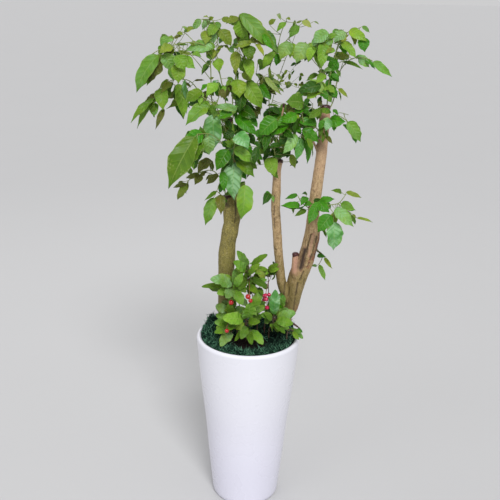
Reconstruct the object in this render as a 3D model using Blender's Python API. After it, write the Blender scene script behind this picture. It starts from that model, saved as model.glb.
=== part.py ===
"""A china doll plant in a tall white pot, with moss, soil and a low plant with red berries.

The pot's foot stands at the origin, +Z is up and the front is towards -Y. Lengths are in metres.
The foliage tables are in centimetres on the upright plane through the pot's axis, as seen from EYE:
(across, up), and a depth behind that plane slides a place along its line of sight.
"""

import math
import random

import bmesh
import bpy
from mathutils import Matrix, Vector
from mathutils.bvhtree import BVHTree

# Pot: the radii of its outside, from the foot to the rim
POT_HEIGHT = 0.575
POT_OUTSIDE = [(0.0, 0.102), (0.003, 0.1068), (0.010, 0.1098), (0.14, 0.1230), (0.26, 0.1335),
               (0.36, 0.1448), (0.46, 0.1558), (0.545, 0.1632)]
RIM_OUTER = 0.1645
RIM_INNER = 0.151
POT_LIP = [(0.560, RIM_OUTER), (0.568, RIM_OUTER), (0.5735, 0.162), (0.575, 0.158), (0.5735, 0.1535),
           (0.570, RIM_INNER)]
WALL = 0.010
FLOOR_THICKNESS = 0.014
INSIDE_HEIGHTS = (0.545, 0.36, 0.14, 0.03)
INSIDE_FOOT_RADIUS = 0.0885
POT_SEGMENTS = 32

# Filling
SOIL_TOP = 0.560
SOIL_FOOT_RADIUS = 0.0865
SOIL_HEIGHTS = (0.032, 0.14, 0.36, 0.545)
MOSS_RIM = 0.572
GAP = 0.0003

# Where the front view is seen from
EYE = Vector((0.0, -2.2, 1.6))
CM = 0.01

# Foliage
BLADE_THICKNESS = 0.0014
STALK_HALF_WIDTH = 0.0008
SEAT_DEPTH = 0.0065
SEAT_REACH = 0.045
FLAT_ANGLE = 0.01
SEED = 20


def remove_everything():
    for thing in list(bpy.data.objects):
        bpy.data.objects.remove(thing, do_unlink=True)


def material(name, colour, roughness=0.5, metallic=0.0):
    """A plain Principled surface."""
    result = bpy.data.materials.new(name)
    result.use_nodes = True
    shader = result.node_tree.nodes["Principled BSDF"]
    shader.inputs["Base Color"].default_value = (*colour, 1.0)
    shader.inputs["Roughness"].default_value = roughness
    shader.inputs["Metallic"].default_value = metallic
    return result


def mesh_from(name, verts, faces):
    mesh = bpy.data.meshes.new(name)
    mesh.from_pydata([tuple(v) for v in verts], [], faces)
    bm = bmesh.new()
    bm.from_mesh(mesh)
    bmesh.ops.recalc_face_normals(bm, faces=bm.faces)
    bmesh.ops.triangulate(bm, faces=bm.faces)
    bm.to_mesh(mesh)
    bm.free()
    return mesh


def add_object(name, mesh, surface):
    thing = bpy.data.objects.new(name, mesh)
    bpy.context.scene.collection.objects.link(thing)
    mesh.materials.clear()
    mesh.materials.append(surface)
    mesh.shade_smooth()
    mesh.set_sharp_from_angle(angle=math.radians(40))
    return thing


def evaluated_mesh(thing):
    graph = bpy.context.evaluated_depsgraph_get()
    graph.update()
    return bpy.data.meshes.new_from_object(thing.evaluated_get(graph))


def merge_flat_faces(mesh):
    """Drops the needless edges that a join leaves in flat faces."""
    bm = bmesh.new()
    bm.from_mesh(mesh)
    bmesh.ops.dissolve_limit(bm, angle_limit=FLAT_ANGLE, verts=bm.verts, edges=bm.edges)
    bmesh.ops.triangulate(bm, faces=bm.faces)
    bm.to_mesh(mesh)
    bm.free()


def boolean(solid, others, operation, name):
    """The solid (verts, faces) with the others joined to it or cut out of it, as one mesh."""
    base = bpy.data.objects.new(name, mesh_from(name, *solid))
    bpy.context.scene.collection.objects.link(base)
    group = bpy.data.collections.new(name + "_operands")
    bpy.context.scene.collection.children.link(group)
    for index, other in enumerate(others):
        piece = bpy.data.objects.new(f"{name}_{index}", mesh_from(name, *other))
        group.objects.link(piece)
    modifier = base.modifiers.new("join", "BOOLEAN")
    modifier.operation = operation
    modifier.operand_type = "COLLECTION"
    modifier.collection = group
    modifier.solver = "MANIFOLD"
    mesh = evaluated_mesh(base)
    merge_flat_faces(mesh)
    for piece in list(group.objects):
        bpy.data.objects.remove(piece, do_unlink=True)
    bpy.data.collections.remove(group)
    bpy.data.objects.remove(base, do_unlink=True)
    return mesh


def solid_of(mesh):
    return [v.co.copy() for v in mesh.vertices], [tuple(p.vertices) for p in mesh.polygons]


def seen(across, up, depth=0.0):
    """A place of the front view, in centimetres, at a depth behind the middle plane."""
    middle = Vector((across * CM, 0.0, up * CM))
    return EYE + (middle - EYE) * (1.0 + depth * CM / -EYE.y)


def revolved(profile, segments):
    """A closed solid turned from (radius, height) points; a radius of 0 is a pole."""
    verts = []
    rings = []
    for radius, height in profile:
        if radius == 0.0:
            rings.append([len(verts)] * segments)
            verts.append(Vector((0.0, 0.0, height)))
            continue
        rings.append(list(range(len(verts), len(verts) + segments)))
        for i in range(segments):
            angle = 2 * math.pi * i / segments
            verts.append(Vector((radius * math.cos(angle), radius * math.sin(angle), height)))
    faces = []
    for lower, upper in zip(rings, rings[1:]):
        for i in range(segments):
            j = (i + 1) % segments
            face = list(dict.fromkeys((lower[i], lower[j], upper[j], upper[i])))
            faces.append(tuple(face))
    return verts, faces


def tube(points, radii, sides, bump=0.0, phase=0.0):
    """A closed tube through the points; bump swells its rings unevenly, as bark does."""
    points = [Vector(p) for p in points]
    side = None
    verts = []
    for i, (point, radius) in enumerate(zip(points, radii)):
        ahead = points[min(i + 1, len(points) - 1)] - points[max(i - 1, 0)]
        ahead.normalize()
        if side is None:
            reference = Vector((0, -1, 0)) if abs(ahead.y) < 0.9 else Vector((0, 0, 1))
            side = ahead.cross(reference)
        side = (side - ahead * side.dot(ahead)).normalized()
        other = ahead.cross(side)
        for k in range(sides):
            angle = 2 * math.pi * k / sides
            swell = 1 + bump * math.sin(3 * angle + 1.7 * i + phase) * math.cos(2.1 * i + angle)
            verts.append(point + (side * math.cos(angle) + other * math.sin(angle)) * radius * swell)
    faces = [tuple(reversed(range(sides)))]
    for i in range(len(points) - 1):
        for k in range(sides):
            a = i * sides + k
            b = i * sides + (k + 1) % sides
            faces.append((a, b, b + sides, a + sides))
    last = (len(points) - 1) * sides
    faces.append(tuple(range(last, last + sides)))
    return verts, faces


def pot_inner_radius(height):
    """The pot's inside, a wall's thickness in from its outside."""
    for (low, r_low), (high, r_high) in zip(POT_OUTSIDE, POT_OUTSIDE[1:]):
        if height <= high:
            return r_low + (r_high - r_low) * (height - low) / (high - low) - WALL
    return RIM_INNER


def pot_solid():
    """The tapered pot with a rounded foot and lip."""
    profile = [(0.0, 0.0)] + [(radius, height) for height, radius in POT_OUTSIDE + POT_LIP]
    profile += [(pot_inner_radius(height), height) for height in INSIDE_HEIGHTS]
    profile += [(INSIDE_FOOT_RADIUS, FLOOR_THICKNESS), (0.0, FLOOR_THICKNESS)]
    return revolved(profile, POT_SEGMENTS)


# The trunks: (x, y, z, radius) along each limb; the first two points stand in the soil
TRUNK_LEFT = [(-0.074, 0.012, 0.42, 0.0225), (-0.074, 0.012, 0.60, 0.0225), (-0.0745, 0.010, 0.68, 0.0232),
              (-0.073, 0.006, 0.775, 0.0248), (-0.0715, 0.002, 0.842, 0.0264), (-0.0685, 0.0, 0.882, 0.0240),
              (-0.0625, 0.0, 0.920, 0.0258), (-0.0570, 0.0, 0.955, 0.0225)]
LEFT_LIMB = [(-0.0625, 0.0, 0.925, 0.0175), (-0.0670, 0.0, 0.965, 0.0168), (-0.0690, 0.0, 1.002, 0.0158),
             (-0.0770, 0.0, 1.030, 0.0148)]
RIGHT_LIMB = [(-0.0540, 0.0, 0.925, 0.0150), (-0.0450, 0.0, 0.965, 0.0142), (-0.0445, 0.003, 1.02, 0.0130),
              (-0.0530, 0.008, 1.10, 0.0112), (-0.0620, 0.010, 1.17, 0.0100), (-0.0680, 0.010, 1.26, 0.0090)]
TRUNK_RIGHT = [(0.1040, 0.042, 0.42, 0.0220), (0.1190, 0.044, 0.62, 0.0220), (0.1350, 0.037, 0.655, 0.0236),
               (0.1410, 0.024, 0.708, 0.0268), (0.1530, 0.010, 0.774, 0.0288), (0.1760, 0.004, 0.840, 0.0266),
               (0.1900, 0.003, 0.907, 0.0250), (0.1900, 0.004, 0.971, 0.0184), (0.1950, 0.006, 1.034, 0.0174),
               (0.2020, 0.008, 1.115, 0.0166), (0.2080, 0.010, 1.19, 0.0162), (0.2110, 0.012, 1.305, 0.0150)]
CENTRE_STEM = [(0.1260, 0.022, 0.688, 0.0150), (0.1035, 0.008, 0.744, 0.0146), (0.0935, 0.002, 0.809, 0.0140),
               (0.0835, 0.0, 0.903, 0.0140), (0.0750, 0.0, 0.993, 0.0136), (0.0755, 0.002, 1.05, 0.0130),
               (0.0760, 0.002, 1.108, 0.0120), (0.0810, 0.002, 1.144, 0.0120)]
STUB = [(0.148, -0.004, 0.765, 0.0105), (0.140, -0.016, 0.80, 0.0100), (0.140, -0.020, 0.858, 0.0098)]
TRUNK_SIDES = 10
LIMB_SIDES = 8
BARK_BUMP = 0.035
LEFT_PHASE = 0.4
RIGHT_PHASE = 2.0
FOOT_OVERLAP = 0.006
FOOT_HOLE_RISE = 0.03


def limb(rows, sides, extra=0.0, bump=BARK_BUMP, phase=0.0):
    points = [row[:3] for row in rows]
    radii = [row[3] + extra for row in rows]
    return tube(points, radii, sides, bump, phase)


def trunk_foot(rows, extra):
    """The plain round foot of a trunk, grown by extra, for the hole that it stands in."""
    low, high = Vector(rows[0][:3]), Vector(rows[1][:3])
    along = (high - low).normalized()
    return tube([low - along * extra, high + along * FOOT_HOLE_RISE], [rows[0][3] + extra] * 2, TRUNK_SIDES)


def trunk_solid(rows, branches, phase):
    """A trunk with its limbs as one mesh; its foot is a plain cylinder."""
    low, high = Vector(rows[0][:3]), Vector(rows[1][:3])
    foot = tube([low, high + (high - low).normalized() * FOOT_OVERLAP], [rows[0][3]] * 2, TRUNK_SIDES)
    upper = limb(rows[1:], TRUNK_SIDES, phase=phase)
    others = [upper] + [limb(branch, LIMB_SIDES, phase=phase + 1) for branch in branches]
    return boolean(foot, others, "UNION", "trunk")


# The moss carpet's mounds: (x, y, height, spread)
MOSS_MOUNDS = [(-0.118, 0.070, 0.036, 0.034), (-0.140, 0.010, 0.014, 0.032), (0.125, -0.055, 0.010, 0.030),
               (0.030, 0.100, 0.012, 0.050), (0.124, 0.045, 0.034, 0.034), (0.100, 0.085, 0.018, 0.030),
               (-0.030, 0.080, 0.010, 0.040), (0.128, -0.010, 0.014, 0.028)]
MOSS_RINGS = 4
MOSS_EDGE_DROP = 0.004
# Its opening's radius: at the back, what the front adds, how fast that fades, and the edge's waviness
MOSS_OPENING = 0.020
MOSS_OPENING_FRONT = 0.094
MOSS_OPENING_FADE = 1.7
MOSS_OPENING_WAVE = 0.004


def moss_height(x, y):
    rise = 0.0024 * math.sin(90 * x + 1.0) * math.cos(75 * y) + 0.0016 * math.sin(170 * x - 120 * y)
    for mound_x, mound_y, height, spread in MOSS_MOUNDS:
        away = ((x - mound_x) ** 2 + (y - mound_y) ** 2) / spread ** 2
        rise += height * math.exp(-away)
    return MOSS_RIM + rise


def moss_inner_edge(angle):
    """Wide open in front, where the soil shows, and nearly closed at the back."""
    front = 0.5 - 0.5 * math.sin(angle)
    opening = MOSS_OPENING + MOSS_OPENING_FRONT * front ** MOSS_OPENING_FADE
    return opening + MOSS_OPENING_WAVE * math.sin(5 * angle)


def moss_solid():
    outer = RIM_INNER - 2 * GAP
    verts = []
    for i in range(POT_SEGMENTS):
        angle = 2 * math.pi * i / POT_SEGMENTS
        inner = moss_inner_edge(angle)
        for k in range(MOSS_RINGS + 1):
            radius = inner + (outer - inner) * k / MOSS_RINGS
            x, y = radius * math.cos(angle), radius * math.sin(angle)
            top = moss_height(x, y) - (MOSS_EDGE_DROP if k in (0, MOSS_RINGS) else 0.0)
            verts.append(Vector((x, y, top)))
        for radius in (inner, outer):
            verts.append(Vector((radius * math.cos(angle), radius * math.sin(angle), SOIL_TOP + GAP)))
    row = MOSS_RINGS + 3
    faces = []
    for i in range(POT_SEGMENTS):
        a = i * row
        b = ((i + 1) % POT_SEGMENTS) * row
        for k in range(MOSS_RINGS):
            faces.append((a + k, a + k + 1, b + k + 1, b + k))
        faces.append((a + MOSS_RINGS, a + row - 1, b + row - 1, b + MOSS_RINGS))
        faces.append((a + row - 2, a, b, b + row - 2))
        faces.append((a + row - 1, a + row - 2, b + row - 2, b + row - 1))
    return verts, faces


def soil_solid():
    profile = [(0.0, FLOOR_THICKNESS + GAP), (SOIL_FOOT_RADIUS, FLOOR_THICKNESS + GAP)]
    profile += [(pot_inner_radius(height) - 2 * GAP, height) for height in SOIL_HEIGHTS]
    profile += [(RIM_INNER - 2 * GAP, SOIL_TOP), (0.0, SOIL_TOP)]
    return revolved(profile, POT_SEGMENTS)


# The china doll's leafy shoots. Each stalk is a list of (across, up, depth); the first is the stem, from
# its seat in the trunk, and the others leave it. Each leaf is (base across, up, tip across, up, width).
SHOOTS = {
    "leafy_shoot_left_outer_high": {
        "seat": "trunk_left",
        "stalks": [
            [(-6.6, 121.5, 1), (-9.3, 125, 0), (-11.9, 131, -1), (-12.4, 141, -3), (-13.2, 146, -4),
             (-17, 147.6, -5), (-22, 147.0, -6), (-26.5, 145.6, -6), (-30, 143.6, -6)],
            [(-17, 147.6, -5), (-20.3, 150.4, -4), (-23, 148.8, -4)],
            [(-12.4, 141, -3), (-16, 143.8, -7), (-20.5, 144.2, -9)],
        ],
        "leaves": [(-27.4, 144.0, -33.8, 133.2, 4.2), (-26.3, 142.8, -30.0, 136.0, 4.3),
                   (-29.3, 140.0, -30.8, 135.2, 1.8), (-25.6, 144.4, -23.4, 139.6, 3.8),
                   (-22.0, 144.0, -19.9, 139.6, 3.6), (-21.6, 141.6, -21.6, 136.0, 3.6),
                   (-20.2, 143.4, -16.7, 140.3, 2.8), (-11.8, 146.4, -19.8, 145.2, 3.3),
                   (-23.4, 146.6, -27.2, 144.4, 2.4), (-24.3, 149.0, -26.7, 146.2, 2.2),
                   (-19.4, 150.6, -16.9, 151.6, 1.4)],
    },
    "leafy_shoot_left_outer_low": {
        "seat": "trunk_left",
        "stalks": [
            [(-6.4, 119.0, 2), (-9.8, 123.5, 4), (-14, 131, 5), (-18, 136.6, 4), (-22.3, 137.2, 3),
             (-25.6, 136.0, 2), (-28.3, 133.4, 1)],
        ],
        "leaves": [(-26.6, 134.6, -26.2, 128.2, 3.7), (-28.6, 133.0, -32.3, 128.0, 1.2),
                   (-28.9, 131.6, -35.8, 124.3, 2.0), (-28.2, 131.4, -34.0, 122.6, 1.9),
                   (-28.3, 130.4, -29.0, 126.2, 2.0), (-26.0, 128.8, -28.6, 122.6, 1.6),
                   (-21.8, 136.0, -20.3, 125.8, 3.3), (-20.2, 136.2, -19.3, 127.4, 1.9),
                   (-23.6, 136.4, -26.9, 133.2, 1.8)],
    },
    "leafy_shoot_left_top": {
        "seat": "trunk_left",
        "stalks": [
            [(-6.9, 124.8, 1), (-8.0, 131, 0), (-9.6, 138.5, -1), (-10.6, 144, -2), (-10.6, 150, -2),
             (-11.8, 153.6, -2), (-14.8, 154.0, -1)],
            [(-9.6, 138.5, -1), (-11.6, 142.6, -3), (-13.2, 145.4, -5)],
        ],
        "leaves": [(-15.2, 153.9, -17.6, 151.0, 1.8), (-12.6, 154.0, -14.7, 154.5, 1.0),
                   (-13.6, 150.9, -14.0, 146.9, 2.8), (-10.9, 152.4, -13.1, 149.3, 2.6),
                   (-11.4, 150.6, -11.6, 147.2, 1.5), (-9.9, 151.2, -6.5, 146.7, 3.2),
                   (-10.1, 143.4, -9.9, 139.5, 2.8), (-12.6, 142.4, -15.0, 138.6, 1.4),
                   (-11.6, 146.0, -12.6, 142.6, 1.9), (-9.3, 154.2, -6.6, 153.2, 1.7)],
    },
    "leafy_shoot_left_crest": {
        "seat": "trunk_left",
        "stalks": [
            [(-6.8, 125.6, 1), (-6.0, 133, 1), (-5.0, 140, 1), (-4.6, 147, 0), (-4.7, 152.6, -1),
             (-4.4, 155.4, -2)],
            [(-4.6, 147, 0), (-2.2, 148.4, -2), (0.4, 147.6, -3)],
        ],
        "leaves": [(-4.2, 155.6, 7.0, 145.0, 3.6), (-4.3, 153.8, -3.4, 148.7, 4.5),
                   (-4.8, 154.6, -8.2, 152.8, 1.9), (-1.6, 147.2, -1.8, 143.0, 3.3),
                   (-5.4, 145.4, -5.3, 139.0, 2.6), (-1.9, 143.4, -0.7, 137.4, 2.8),
                   (0.4, 147.6, 2.9, 143.9, 1.3), (-0.2, 148.4, 3.1, 147.0, 0.9),
                   (-1.0, 147.8, -5.6, 146.3, 1.9), (-5.0, 137.6, -4.0, 132.2, 4.2)],
    },
    "leafy_shoot_left_inner": {
        "seat": "trunk_left",
        "stalks": [
            [(-6.4, 116.0, 1), (-4.2, 123.5, 3), (-2.6, 130, 3), (-2.0, 137.2, 2)],
            [(-2.6, 130, 3), (0.6, 135.0, 4), (3.0, 138.6, 5)],
        ],
        "leaves": [(-2.0, 136.8, 2.7, 129.4, 4.4), (1.6, 136.0, 5.1, 132.0, 2.6),
                   (-3.0, 134.6, -4.0, 128.0, 3.0), (-5.2, 127.2, 1.8, 121.2, 3.2),
                   (-3.4, 129.0, 1.2, 126.4, 3.2), (2.2, 130.0, 0.4, 126.4, 1.6),
                   (3.2, 138.4, 8.2, 133.4, 1.5), (-6.6, 136.0, -8.6, 131.8, 1.6)],
    },
    "leafy_shoot_left_middle": {
        "seat": "trunk_left",
        "stalks": [
            [(-6.6, 120.6, 0), (-8.6, 124.6, -4), (-10.6, 129.4, -7), (-12.4, 131.0, -8), (-15, 132.6, -8)],
            [(-10.6, 129.4, -7), (-9.8, 133.6, -6), (-10.2, 136.4, -6)],
        ],
        "leaves": [(-10.4, 136.4, -13.6, 132.4, 2.9), (-9.8, 134.6, -8.2, 132.0, 2.0),
                   (-15.0, 134.2, -19.4, 130.6, 3.1), (-13.2, 130.0, -19.7, 124.0, 4.0),
                   (-4.6, 129.2, -12.0, 129.6, 2.0), (-11.6, 127.4, -11.6, 116.6, 4.8),
                   (-6.4, 128.4, -10.2, 126.0, 2.8), (-5.4, 122.6, -8.8, 120.4, 2.4)],
    },
    "leafy_shoot_left_hanging": {
        "seat": "trunk_left",
        "stalks": [
            [(-5.8, 114.6, 0), (-8.6, 118.8, -6), (-12.4, 121.6, -10), (-16.4, 121.6, -12)],
        ],
        "leaves": [(-14.6, 121.8, -20.9, 118.0, 4.0), (-17.0, 120.8, -25.0, 104.8, 6.2),
                   (-15.4, 120.2, -18.8, 111.6, 4.6), (-14.4, 121.0, -15.4, 124.0, 1.8),
                   (-13.0, 121.0, -12.8, 115.4, 3.2), (-17.2, 115.6, -17.2, 110.8, 1.9)],
    },
    "leafy_shoot_left_shaded": {
        "seat": "trunk_left",
        "stalks": [
            [(-7.6, 102.2, 0), (-8.4, 106.8, 4), (-11.4, 110.6, 6), (-15, 110.2, 7), (-19.2, 107.4, 7)],
        ],
        "leaves": [(-19.0, 106.6, -22.3, 101.4, 2.3), (-19.6, 106.6, -23.6, 105.2, 1.1),
                   (-12.4, 114.2, -16.2, 109.6, 3.1), (-15.2, 109.4, -17.1, 106.2, 2.3),
                   (-15.7, 109.6, -19.8, 108.2, 1.6), (-10.0, 109.6, -13.6, 106.5, 2.0)],
    },
    "leafy_shoot_left_low": {
        "seat": "trunk_left",
        "stalks": [
            [(-7.4, 100.6, 0), (-9.2, 103.4, -4), (-10.6, 104.6, -5)],
        ],
        "leaves": [(-10.6, 104.4, -14.2, 101.4, 1.1), (-11.4, 102.4, -13.9, 93.6, 3.3),
                   (-9.4, 103.4, -9.1, 97.0, 2.6), (-8.8, 110.6, -8.3, 104.2, 2.2)],
    },
    "leafy_shoot_left_front": {
        "seat": "trunk_left",
        "stalks": [
            [(-5.5, 111.4, 0), (-5.6, 114.6, -5), (-5.2, 119.4, -8)],
        ],
        "leaves": [(-7.2, 117.2, -10.6, 110.7, 3.8), (-5.4, 117.6, 0.4, 113.2, 3.2),
                   (-4.6, 114.4, 0.9, 108.9, 3.2), (1.6, 118.2, 0.8, 112.4, 2.2),
                   (-4.8, 121.8, -1.0, 117.6, 4.2), (-5.0, 113.4, -5.0, 101.6, 5.2)],
    },
    "leafy_shoot_left_broad": {
        "seat": "trunk_left",
        "stalks": [
            [(-4.3, 103.6, 0), (-3.0, 106.4, -4), (-2.0, 107.0, -5)],
        ],
        "leaves": [(-2.0, 106.6, -3.0, 95.6, 5.0), (-3.4, 107.2, -7.0, 103.6, 2.0)],
    },
    "leafy_shoot_centre_low": {
        "seat": "trunk_right",
        "stalks": [
            [(7.6, 102.0, 0), (6.4, 103.6, -3), (5.6, 104.2, -3)],
        ],
        "leaves": [(5.4, 104.2, 3.5, 100.4, 2.2), (6.4, 103.4, 6.9, 101.2, 0.9)],
    },
    "leafy_shoot_centre_front": {
        "seat": "trunk_right",
        "stalks": [
            [(7.8, 113.4, 0), (6.6, 117.0, -5), (7.4, 121.4, -7), (8.6, 125.6, -7)],
            [(6.6, 117.0, -5), (4.6, 119.4, -7), (4.2, 122.4, -7)],
        ],
        "leaves": [(4.4, 122.0, 3.4, 116.4, 2.0), (8.4, 119.0, 4.7, 117.9, 1.7),
                   (9.4, 115.8, 4.2, 115.9, 1.8), (4.8, 115.0, 6.9, 109.2, 3.6),
                   (6.9, 126.5, 1.8, 121.5, 4.5), (10.5, 125.2, 5.2, 121.4, 3.2),
                   (12.8, 122.2, 9.1, 116.2, 2.8), (12.8, 127.8, 8.2, 125.6, 2.8),
                   (9.6, 122.8, 12.3, 120.8, 2.0), (11.6, 116.2, 13.0, 111.9, 1.8)],
    },
    "leafy_shoot_centre_back": {
        "seat": "trunk_right",
        "stalks": [
            [(7.7, 111.8, 1), (5.4, 119.5, 6), (4.8, 128, 8), (4.4, 140.2, 8), (6.6, 145.6, 7),
             (9.6, 149.4, 6), (11.6, 152.4, 6)],
            [(6.6, 145.6, 7), (7.4, 150.6, 6), (8.9, 154.0, 5)],
        ],
        "leaves": [(10.2, 148.2, 7.4, 143.2, 3.8), (7.0, 145.0, 6.3, 141.6, 2.0),
                   (5.8, 145.4, 2.4, 140.4, 2.4), (3.4, 143.4, 1.5, 140.2, 1.9),
                   (8.7, 153.6, 6.1, 150.8, 1.5), (8.8, 154.7, 10.0, 154.2, 1.0),
                   (12.2, 152.8, 9.8, 149.3, 2.2), (4.0, 153.0, 5.9, 154.4, 1.4),
                   (5.2, 137.6, 8.3, 136.0, 1.1), (6.5, 139.2, 8.2, 137.4, 1.1),
                   (9.4, 135.6, 11.4, 136.9, 1.1), (8.0, 128.4, 3.6, 129.2, 2.0),
                   (13.2, 154.0, 16.0, 152.3, 1.7)],
    },
    "leafy_shoot_right_top": {
        "seat": "trunk_right",
        "stalks": [
            [(20.6, 130.2, 1), (19.4, 135.2, 0), (18.9, 141, -1), (18.2, 146.0, -3), (17.6, 148.6, -4)],
            [(18.9, 141, -1), (16.4, 144.0, 0), (14.6, 148.2, 1)],
        ],
        "leaves": [(14.8, 148.0, 12.0, 142.4, 4.2), (16.8, 147.2, 15.3, 142.9, 2.2),
                   (20.5, 151.4, 16.4, 147.9, 3.2), (22.2, 149.4, 19.6, 147.4, 2.0),
                   (19.4, 148.4, 19.2, 141.0, 3.0), (18.0, 139.4, 15.0, 137.5, 1.1),
                   (20.2, 139.6, 18.0, 136.8, 2.2), (19.4, 136.4, 12.3, 134.3, 3.0),
                   (18.6, 135.4, 15.4, 132.0, 3.0), (22.3, 146.8, 20.2, 145.2, 1.3),
                   (18.6, 144.6, 16.6, 144.4, 2.6)],
    },
    "leafy_shoot_right_arching": {
        "seat": "trunk_right",
        "stalks": [
            [(21.2, 130.3, 1), (21.6, 137, 2), (22.6, 143, 2), (24.2, 148.6, 1), (26.4, 151.4, 0),
             (29.6, 152.6, -1)],
        ],
        "leaves": [(25.4, 151.4, 22.4, 148.3, 2.9), (26.4, 150.4, 23.8, 149.8, 1.2),
                   (26.6, 151.8, 31.9, 148.8, 2.6), (30.4, 149.9, 31.4, 145.9, 3.0),
                   (30.2, 153.0, 32.4, 151.3, 1.1), (24.6, 148.6, 29.2, 144.0, 2.4),
                   (24.6, 147.6, 26.2, 145.0, 1.5), (27.6, 150.8, 28.6, 147.8, 1.4),
                   (23.6, 143.6, 21.4, 140.4, 3.0), (21.4, 140.0, 24.6, 137.4, 2.4)],
    },
    "leafy_shoot_right_far": {
        "seat": "trunk_right",
        "stalks": [
            [(21.3, 127.4, 1), (23.4, 133.0, 5), (24.4, 140.0, 6), (27.4, 143.8, 5), (31.0, 144.4, 3),
             (33.6, 143.7, 2)],
        ],
        "leaves": [(34.0, 143.4, 39.7, 139.2, 2.1), (27.0, 144.6, 22.7, 143.9, 2.3),
                   (29.8, 144.3, 33.0, 141.8, 2.3), (25.6, 143.2, 31.2, 141.1, 1.1),
                   (20.4, 135.8, 24.3, 132.8, 3.5), (24.5, 135.6, 27.4, 133.1, 1.2)],
    },
    "leafy_shoot_right_side": {
        "seat": "trunk_right",
        "stalks": [
            [(20.9, 123.2, 1), (22.0, 126.6, -3), (24.6, 127.9, -4), (27.4, 126.6, -4)],
        ],
        "leaves": [(23.2, 129.6, 24.9, 127.9, 1.1), (22.4, 126.6, 27.2, 126.2, 3.0),
                   (27.8, 126.2, 31.9, 120.3, 3.2), (22.2, 127.2, 20.4, 123.6, 2.3),
                   (23.6, 126.0, 23.9, 123.2, 1.5), (21.6, 121.8, 23.7, 119.5, 1.2)],
    },
    "leafy_shoot_right_inner": {
        "seat": "trunk_right",
        "stalks": [
            [(20.7, 121.0, 1), (18.6, 124.2, -3), (15.6, 124.6, -5), (14.4, 127.6, -5), (14.6, 131.4, -5)],
            [(15.6, 124.6, -5), (14.6, 121.6, -6)],
        ],
        "leaves": [(18.6, 125.8, 12.8, 125.2, 3.0), (14.6, 123.6, 19.6, 119.7, 3.2),
                   (14.4, 120.9, 13.2, 114.3, 2.4), (15.4, 120.7, 16.4, 113.3, 2.1),
                   (19.4, 129.2, 16.1, 126.7, 2.0), (16.0, 132.6, 14.8, 130.0, 1.3),
                   (14.8, 129.6, 11.4, 127.7, 1.9), (14.5, 131.4, 9.4, 131.5, 4.4)],
    },
    "leafy_shoot_low_left": {
        "seat": "trunk_right",
        "stalks": [
            [(18.9, 98.6, 0), (17.0, 100.2, -3), (15.2, 101.6, -4), (14.2, 103.4, -4)],
        ],
        "leaves": [(13.9, 103.9, 10.1, 102.4, 1.3), (14.8, 100.6, 8.9, 100.3, 1.9),
                   (16.8, 99.2, 13.3, 97.1, 1.5), (16.8, 104.3, 15.2, 104.2, 0.9),
                   (16.9, 103.2, 15.1, 100.4, 1.9), (18.3, 101.4, 16.0, 100.2, 1.6)],
    },
    "leafy_shoot_low_front": {
        "seat": "trunk_right",
        "stalks": [
            [(19.0, 95.6, -1), (20.4, 99.2, -6), (23.6, 100.8, -7), (26.6, 101.6, -7), (28.6, 104.4, -6)],
            [(23.6, 100.8, -7), (25.2, 98.4, -9)],
        ],
        "leaves": [(20.2, 101.9, 23.9, 98.5, 3.0), (19.6, 100.6, 17.7, 94.6, 2.8),
                   (20.8, 102.3, 25.3, 102.8, 1.8), (27.2, 104.9, 23.9, 105.4, 1.3),
                   (28.6, 105.0, 33.4, 103.3, 1.4), (27.4, 101.6, 31.9, 99.4, 2.3),
                   (25.6, 99.8, 31.6, 94.1, 3.3), (24.4, 97.8, 20.6, 92.1, 3.8),
                   (25.4, 95.6, 25.8, 86.4, 4.6), (32.4, 97.0, 37.4, 95.6, 0.9)],
    },
    "leafy_shoot_low_back": {
        "seat": "trunk_right",
        "stalks": [
            [(19.3, 89.0, 0), (20.8, 86.6, 6), (22.4, 84.2, 7), (21.6, 81.8, 7)],
        ],
        "leaves": [(20.9, 84.6, 23.7, 84.2, 1.4), (23.2, 84.0, 25.8, 80.3, 1.2),
                   (20.9, 81.3, 19.2, 81.0, 0.9), (21.6, 81.6, 23.8, 76.4, 1.6)],
    },
}
# Some leaves have a fellow behind them, this far back in centimetres
BACK_EVERY = 5
BACK_DEPTHS = (11, 15, 9, 18, 13)
BACK_STALK_DEPTHS = (13, 11, 15, 9, 17, 7, 20)
BACK_STALK_SAG = Vector((0, 0.01, 0.012))
BACK_STALK_START = 0.4
# A leaf's upper face turns to the front and up, or to the side for a leaf that points there itself
LEAF_FACES = Vector((0.0, -0.85, 0.52))
LEAF_FACES_ELSE = Vector((0.3, -0.6, 0.74))


def facing(axis, roll):
    """The upper face's direction for a leaf that points along axis."""
    normal = LEAF_FACES - axis * axis.dot(LEAF_FACES)
    if normal.length < 0.15:
        normal = LEAF_FACES_ELSE - axis * axis.dot(LEAF_FACES_ELSE)
    normal.normalize()
    return Matrix.Rotation(roll, 3, axis) @ normal


# A blade's stations: (share of its length, share of its half width, rise of its left and right edges)
BLADE_LARGE = [(0.15, 0.66, 0.32, 0.17), (0.42, 1.0, 0.16, 0.32), (0.74, 0.58, 0.32, 0.20)]
BLADE_MIDDLE = [(0.26, 0.92, 0.28, 0.18), (0.64, 0.76, 0.18, 0.30)]
BLADE_SMALL = [(0.42, 1.0, 0.26, 0.20)]
LARGE_BLADE = 0.062
SMALL_BLADE = 0.026
SHORTEST_STALK = 0.004
ARCH = 0.11
# A blade is folded and tilted, so it is this much broader than it looks from the front
BROADER = 1.12


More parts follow.
